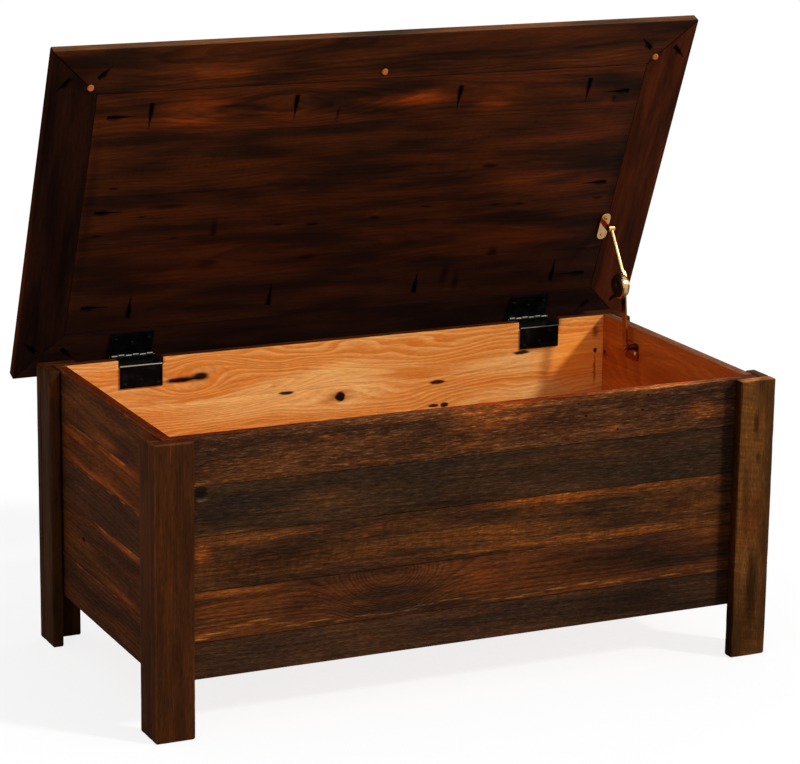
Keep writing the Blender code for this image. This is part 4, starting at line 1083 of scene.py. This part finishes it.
lid_oak(
    "lid_panel_board_1", (82, 35, 11), (36, 18, 8), pith=(396, 117, 4), bow=24.0, rings=0.7,
    knots=((396, 112, 12),),
    marks=(
        (248, 119, 90, 32, (3.6, 2.6, 1.4)), (396, 117, 70, 30, (3.2, 2.4, 1.4)),
        (761, 138, 42, 18, (2.4, 1.8, 1.1)), (490, 138, 3.5, 19, DARK_SLIT, 0.8, 0.2),
        (300, 112, 60, 6, STAIN, 0.9), (610, 118, 110, 24, (2.2, 1.75, 1.1)), (640, 120, 60, 20, GLOW, 0.9),
        (990, 141, 5, 9, DARK_SLIT, 0.8, 0.2), (980, 145, 20, 12, (2.0, 1.6, 1.1)),
        (850, 110, 60, 14, (0.7, 0.7, 0.7)),
    ),
)
lid_oak(
    "lid_panel_board_2", (70, 31, 11), (33, 17, 8), pith=(420, 300, 30), chatter=1.0,
    marks=(
        (292, 198, 75, 26, GLOW, 0.9), (127, 251, 12, 3, DARK_SLIT, 0.7, 0.2),
        (785, 258, 24, 6, DARK_SLIT, 0.8, 0.2), (660, 172, 80, 14, (0.5, 0.5, 0.5)),
        (460, 215, 70, 20, (0.66, 0.66, 0.68)), (930, 200, 180, 40, (1.7, 1.4, 1.15)),
        (810, 240, 50, 14, (0.6, 0.6, 0.6)),
    ),
)
lid_oak(
    "lid_panel_board_3", (68, 30, 11), (32, 16, 9), pith=(640, 250, 12), bow=14.0,
    marks=(
        (238, 268, 150, 3, STAIN, 0.8, 0.1), (219, 292, 50, 7, STAIN, 0.8, 0.1),
        (108, 338, 14, 4, DARK_SLIT, 0.8, 0.2), (181, 308, 9, 3, DARK_SLIT, 0.7, 0.2),
        (240, 354, 10, 3, DARK_SLIT, 0.7, 0.2), (308, 344, 9, 34, (0.35, 0.25, 0.35), 0.9, 0.1),
        (419, 342, 13, 3, DARK_SLIT, 0.7, 0.2), (481, 346, 16, 4, DARK_SLIT, 0.7, 0.2),
        (591, 343, 16, 5, DARK_SLIT, 0.8, 0.2), (681, 329, 14, 3, DARK_SLIT, 0.7, 0.2),
        (812, 336, 16, 4, DARK_SLIT, 0.8, 0.2), (858, 338, 16, 4, DARK_SLIT, 0.8, 0.2),
        (1008, 338, 14, 4, DARK_SLIT, 0.8, 0.2), (900, 300, 190, 44, (2.4, 2.0, 1.35)),
        (150, 330, 80, 18, (1.5, 1.25, 1.0)), (520, 300, 110, 24, (0.75, 0.78, 0.8)),
        (400, 350, 60, 9, (1.6, 1.3, 1.0)),
    ),
)
lid_oak(
    "lid_panel_board_4", (64, 28, 11), (31, 15, 8), pith=(500, 400, 14), bow=18.0,
    marks=(
        (300, 408, 36, 13, (0.4, 0.3, 0.4)), (481, 410, 26, 12, STAIN),
        (827, 433, 14, 19, (0.4, 0.33, 0.4), 0.9), (640, 430, 90, 14, (1.6, 1.3, 1.0)),
        (900, 400, 150, 26, GLOW), (220, 420, 90, 20, (1.3, 1.15, 1.0)),
        (560, 396, 150, 26, (1.5, 1.45, 1.2)), (965, 250, 40, 30, GLOW),
    ),
)
lid_oak(
    "lid_panel_board_5", (52, 25, 12), (28, 14, 9), pith=(700, 520, 20), rings=0.3,
    marks=(
        (744, 470, 11, 34, (0.4, 0.3, 0.4), 0.9), (768, 486, 9, 30, (0.4, 0.3, 0.4), 0.9),
        (470, 480, 240, 16, (1.3, 1.2, 1.0)),
    ),
)
for name in ("floor_panel", "floor_cleat_front", "floor_cleat_back"):
    dress(name, inside_floor)
print("lid boards and floor dressed")

# %% [markdown]
# ## Metal, plating and pads
# The hinges are satin black steel, with a painted highlight along the bend and along the knuckles.
# The stay is bright plated steel in a warm tan, a painted reflection of the wood round it. Its lower arm
# and wall bracket are darker and more orange, a painted reflection of the wood inside the box. Its drum has
# a dark face, the screws in the wall are near white as a painted glint, and the pads on the lid are tan.

# %% Finishes of the hardware
# The colour of the painted highlight on the hinges.
BEND_HIGHLIGHT = (176, 170, 150)
UP_AND_FORWARD = (UP - Y_AXIS).normalized()
KNUCKLES = 6
KNUCKLE_STEP = 1.5 * MM
LINE_WIDTH, LINE_SEEN, LINE_GAP = (0.8 * MM, 1.3 * MM), (0.6, 0.8), (0.06, 0.14)
BEND_SEEN, BEND_FROM, LESS_TO_THE_RIGHT = (0.94, 0.985), (7.0 * MM, 8.0 * MM), (-0.1, 0.1, 1.0, 0.4)
leaf_low, leaf_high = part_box("hinge_right_lid_leaf")
knuckle_length = (leaf_high.x - leaf_low.x) / KNUCKLES


def painted_bend_highlight(colour, place):
    """Painted highlight along a hinge leaf's bend, fainter on the right hinge, and dashed along its
    knuckles.
    """
    faced = facing(place.tree, UP_AND_FORWARD)
    x = split(place)[0]
    along = (reckon("ABSOLUTE", x) - leaf_low.x) / knuckle_length
    odd = reckon("PINGPONG", reckon("FLOOR", along), 1.0)
    _, forward, rise = split(place - tuple(hinge_axis))
    off_line = reckon("ABSOLUTE", odd * KNUCKLE_STEP + (forward + rise))
    line = ramp(off_line, *LINE_WIDTH, 1.0, 0.0) * ramp(faced, *LINE_SEEN)
    line = line * ramp(reckon("PINGPONG", along, 0.5), *LINE_GAP)
    away = reckon("MAXIMUM", reckon("ABSOLUTE", forward), reckon("ABSOLUTE", rise))
    edge = ramp(faced, *BEND_SEEN) * ramp(away, *BEND_FROM) * ramp(x, *LESS_TO_THE_RIGHT)
    return mixed(reckon("MAXIMUM", edge, line), colour, paint(*BEND_HIGHLIGHT))


RUBBED, CLOUDED, SCRATCH_SHARE, SCRATCH_FINER = (0.72, 0.95), (0.3, 0.7), 0.4, 12.0
SCRATCH_BUMP, SCRATCH_DEPTH = 0.4, 0.05 * MM


def metal(name, colour, worn_colour, roughness, metallic, scale, specular=0.5, bend=False):
    """Painted or plated metal: rubbed spots, fine scratches, varied gloss, and on hinges a painted
    highlight.
    """
    material, tree, shader = new_material(name)
    place = wire(tree, "ShaderNodeTexCoord", output="Object")
    cloud = noise(place, (scale,) * 3, 1.0, 4.0, 0.6)
    finer = scale * SCRATCH_FINER
    scratch = noise(place, (finer, finer, scale), 4.0, 3.0, 0.7)
    rubbed = ramp(cloud + scratch * SCRATCH_SHARE, *RUBBED)
    tint = mixed(rubbed, paint(*colour), paint(*worn_colour))
    if bend:
        tint = painted_bend_highlight(tint, place)
    shader.inputs["Metallic"].default_value = metallic
    bump = (scratch, SCRATCH_BUMP, SCRATCH_DEPTH)
    finish_shader(shader, tint, ramp(cloud, *CLOUDED, *roughness), bump, specular)
    return material


# The hinge finish carries the painted highlight along the bend and the knuckles.
black_steel = metal("black_steel", (6, 6, 6), (22, 21, 19), (0.26, 0.42), 0.0, 60.0, 0.06, bend=True)
screw_black = metal("screw_black", (10, 10, 9), (44, 42, 38), (0.3, 0.45), 0.0, 300.0, 0.05)
# Lower arm and wall bracket: a painted reflection of the wood inside the box.
arm_plating = metal("arm_plating", (132, 74, 36), (96, 54, 28), (0.14, 0.28), 1.0, 90.0)
# Wall screws near white and only partly metallic: a painted glint.
screw_bright = metal("screw_bright", (250, 228, 196), (220, 190, 150), (0.2, 0.35), 0.35, 90.0)
# The plating's warm tan is a painted reflection of the wood round it.
plating = metal("bright_plating", (208, 166, 114), (150, 112, 72), (0.14, 0.28), 1.0, 90.0)
drum_black = metal("drum_black", (40, 26, 18), (74, 52, 38), (0.25, 0.40), 0.0, 80.0, 0.08)
pad_tan = metal("pad_tan", (186, 104, 44), (140, 76, 34), (0.55, 0.7), 0.0, 300.0, 0.05)
HARDWARE = {
    "hinge_": black_steel, "stay_drum_cap": drum_black, "stay_lower_arm": arm_plating,
    "stay_wall_bracket": arm_plating, "stay_wall_screw": screw_bright, "stay_": plating,
    "lid_bumper_": pad_tan,
}
dressed = 0
for name in nodes:
    finish = next((made for start, made in HARDWARE.items() if name.startswith(start)), None)
    if finish is not None:
        dress(name, finish)
        dressed += 1
print("hardware nodes dressed:", dressed)

# %% [markdown]
# ## Screws
# Each hinge leaf is held by three screws and each lid pocket hides one more. They are all the same
# cross-head screw, so a Geometry Nodes tree makes one head, cuts its cross, and sets a copy on every point.
# A point carries its place and the turn that lays the head on its surface.

# %% Geometry tree: screws on points
HEAD_TOP, SHANK_WIDTH, CROSS_REACH, CROSS_LIFT = 0.62, 0.45, 1.05, 0.95
SHANK_IN_HEAD = 0.2 * MM
screws, given, give = new_group(
    "cross_head_screws",
    "GeometryNodeTree",
    "Geometry Points, Float Head Radius, Float Head Height, Float Slot Width, Float Shank Length, Int Seed, "
    "Material Finish",
    "Geometry Geometry",
)
radius, thickness = given["Head Radius"], given["Head Height"]


def cone(sides, rings, top, bottom, depth):
    """A tapered round part of the screw."""
    sockets = {"Vertices": sides, "Side Segments": rings, "Radius Top": top, "Radius Bottom": bottom}
    return wire(screws, "GeometryNodeMeshCone", {**sockets, "Depth": depth}, "Mesh", fill_type="NGON")


def moved(part, height):
    """A part of the screw, moved along the screw's axis."""
    shift = wire(screws, "ShaderNodeCombineXYZ", {2: height})
    return wire(screws, "GeometryNodeTransform", {"Geometry": part, "Translation": shift})


head = cone(28, 3, radius * HEAD_TOP, radius, thickness)
shank = cone(12, 1, radius * SHANK_WIDTH, radius * SHANK_WIDTH, given["Shank Length"])
shank = moved(shank, SHANK_IN_HEAD - given["Shank Length"])
cut = make(screws, "GeometryNodeMeshBoolean", {"Mesh 1": head}, operation="DIFFERENCE")
arm = radius * CROSS_REACH
for length, width in ((arm, given["Slot Width"]), (given["Slot Width"], arm)):
    size = wire(screws, "ShaderNodeCombineXYZ", {0: length, 1: width, 2: thickness})
    slot = moved(wire(screws, "GeometryNodeMeshCube", {"Size": size}, "Mesh"), thickness * CROSS_LIFT)
    screws.links.new(slot.socket, cut.inputs["Mesh 2"])
whole = make(screws, "GeometryNodeJoinGeometry")
for part in (cut.outputs["Mesh"], shank.socket):
    screws.links.new(part, whole.inputs[0])
turned = wire(screws, "GeometryNodeInputNamedAttribute", {"Name": "facing"}, data_type="FLOAT_VECTOR")
sockets = {"Points": given["Points"], "Instance": Wire(whole.outputs[0]), "Rotation": turned}
copies = wire(screws, "GeometryNodeInstanceOnPoints", sockets)
sockets = {"Max": (0.0, 0.0, math.pi), "Seed": given["Seed"]}
spin = wire(screws, "FunctionNodeRandomValue", sockets, data_type="FLOAT_VECTOR")
spun = wire(screws, "GeometryNodeRotateInstances", {"Instances": copies, "Rotation": spin})
real = wire(screws, "GeometryNodeRealizeInstances", {"Geometry": spun})
give("Geometry", wire(screws, "GeometryNodeSetMaterial", {"Geometry": real, "Material": given["Finish"]}))
print("screw tree:", len(screws.nodes), "nodes")

# %% [markdown]
# The hinge screws lie in a shallow triangle on each leaf, and their heads stand just proud of the steel.
# Those in the wall's leaves stay with the box, and those under the lid turn with it.

# %% Screws in the hinges
LEAF_SPREAD = 28.3 * MM
HEAD_SUNK = 0.3 * MM
LEAF_FACE = 6.2 * MM
BOX_SCREWS = ((0.0, 35.7), (-LEAF_SPREAD, 42.0), (LEAF_SPREAD, 42.0))
LID_SCREWS = ((0.0, 22.6), (-LEAF_SPREAD, 30.0), (LEAF_SPREAD, 30.0))
HINGE_SCREW = {
    "Head Radius": 3.7 * MM, "Head Height": 1.1 * MM, "Slot Width": 0.9 * MM, "Shank Length": 3.0 * MM,
    "Seed": 5,
}


def set_screws(name, sizes, points, turns, body):
    """Sets a screw on every point, all riding on one body."""
    piece = grow(name, screws, {**sizes, "Finish": screw_black}, points, turns)
    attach(piece, body)
    print(name, len(points), "screws,", len(piece.data.polygons), "faces")


def laid(outward):
    """The turn that lays a screw head on a surface."""
    return outward.to_track_quat("Z", "Y").to_euler()


box_points, lid_points = [], []
for side in ("left", "right"):
    low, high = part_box(f"hinge_{side}_box_leaf")
    centre = (low.x + high.x) / 2
    for x, drop in BOX_SCREWS:
        box_points.append(Vector((centre + x, low.y - HEAD_SUNK, RIM - drop * MM)))
    for x, forward in LID_SCREWS:
        lid_points.append(lid_space @ Vector((centre + x, -forward * MM, LEAF_FACE - HEAD_SUNK)))
set_screws("hinge_screws_box", HINGE_SCREW, box_points, [laid(-Y_AXIS)] * len(box_points), "box")
set_screws("hinge_screws_lid", HINGE_SCREW, lid_points, [laid(-LID_OUT)] * len(lid_points), "lid")

# %% [markdown]
# The screws in the pockets are smaller, and each one tilts with its pocket.

# %% Screws in the lid's pockets
POCKET_TILT = -0.12
POCKET_SCREW = {
    "Head Radius": 3.0 * MM, "Head Height": 1.0 * MM, "Slot Width": 0.8 * MM, "Shank Length": 4.0 * MM,
    "Seed": 8,
}
points, turns = [], []
for (way_x, way_y), x, y in pockets:
    points.append(lid_space @ Vector((x, y, HEAD_DEPTH)))
    turns.append(laid((lid_space.to_3x3() @ Vector((-way_x, -way_y, POCKET_TILT))).normalized()))
set_screws("pocket_screws", POCKET_SCREW, points, turns, "lid")
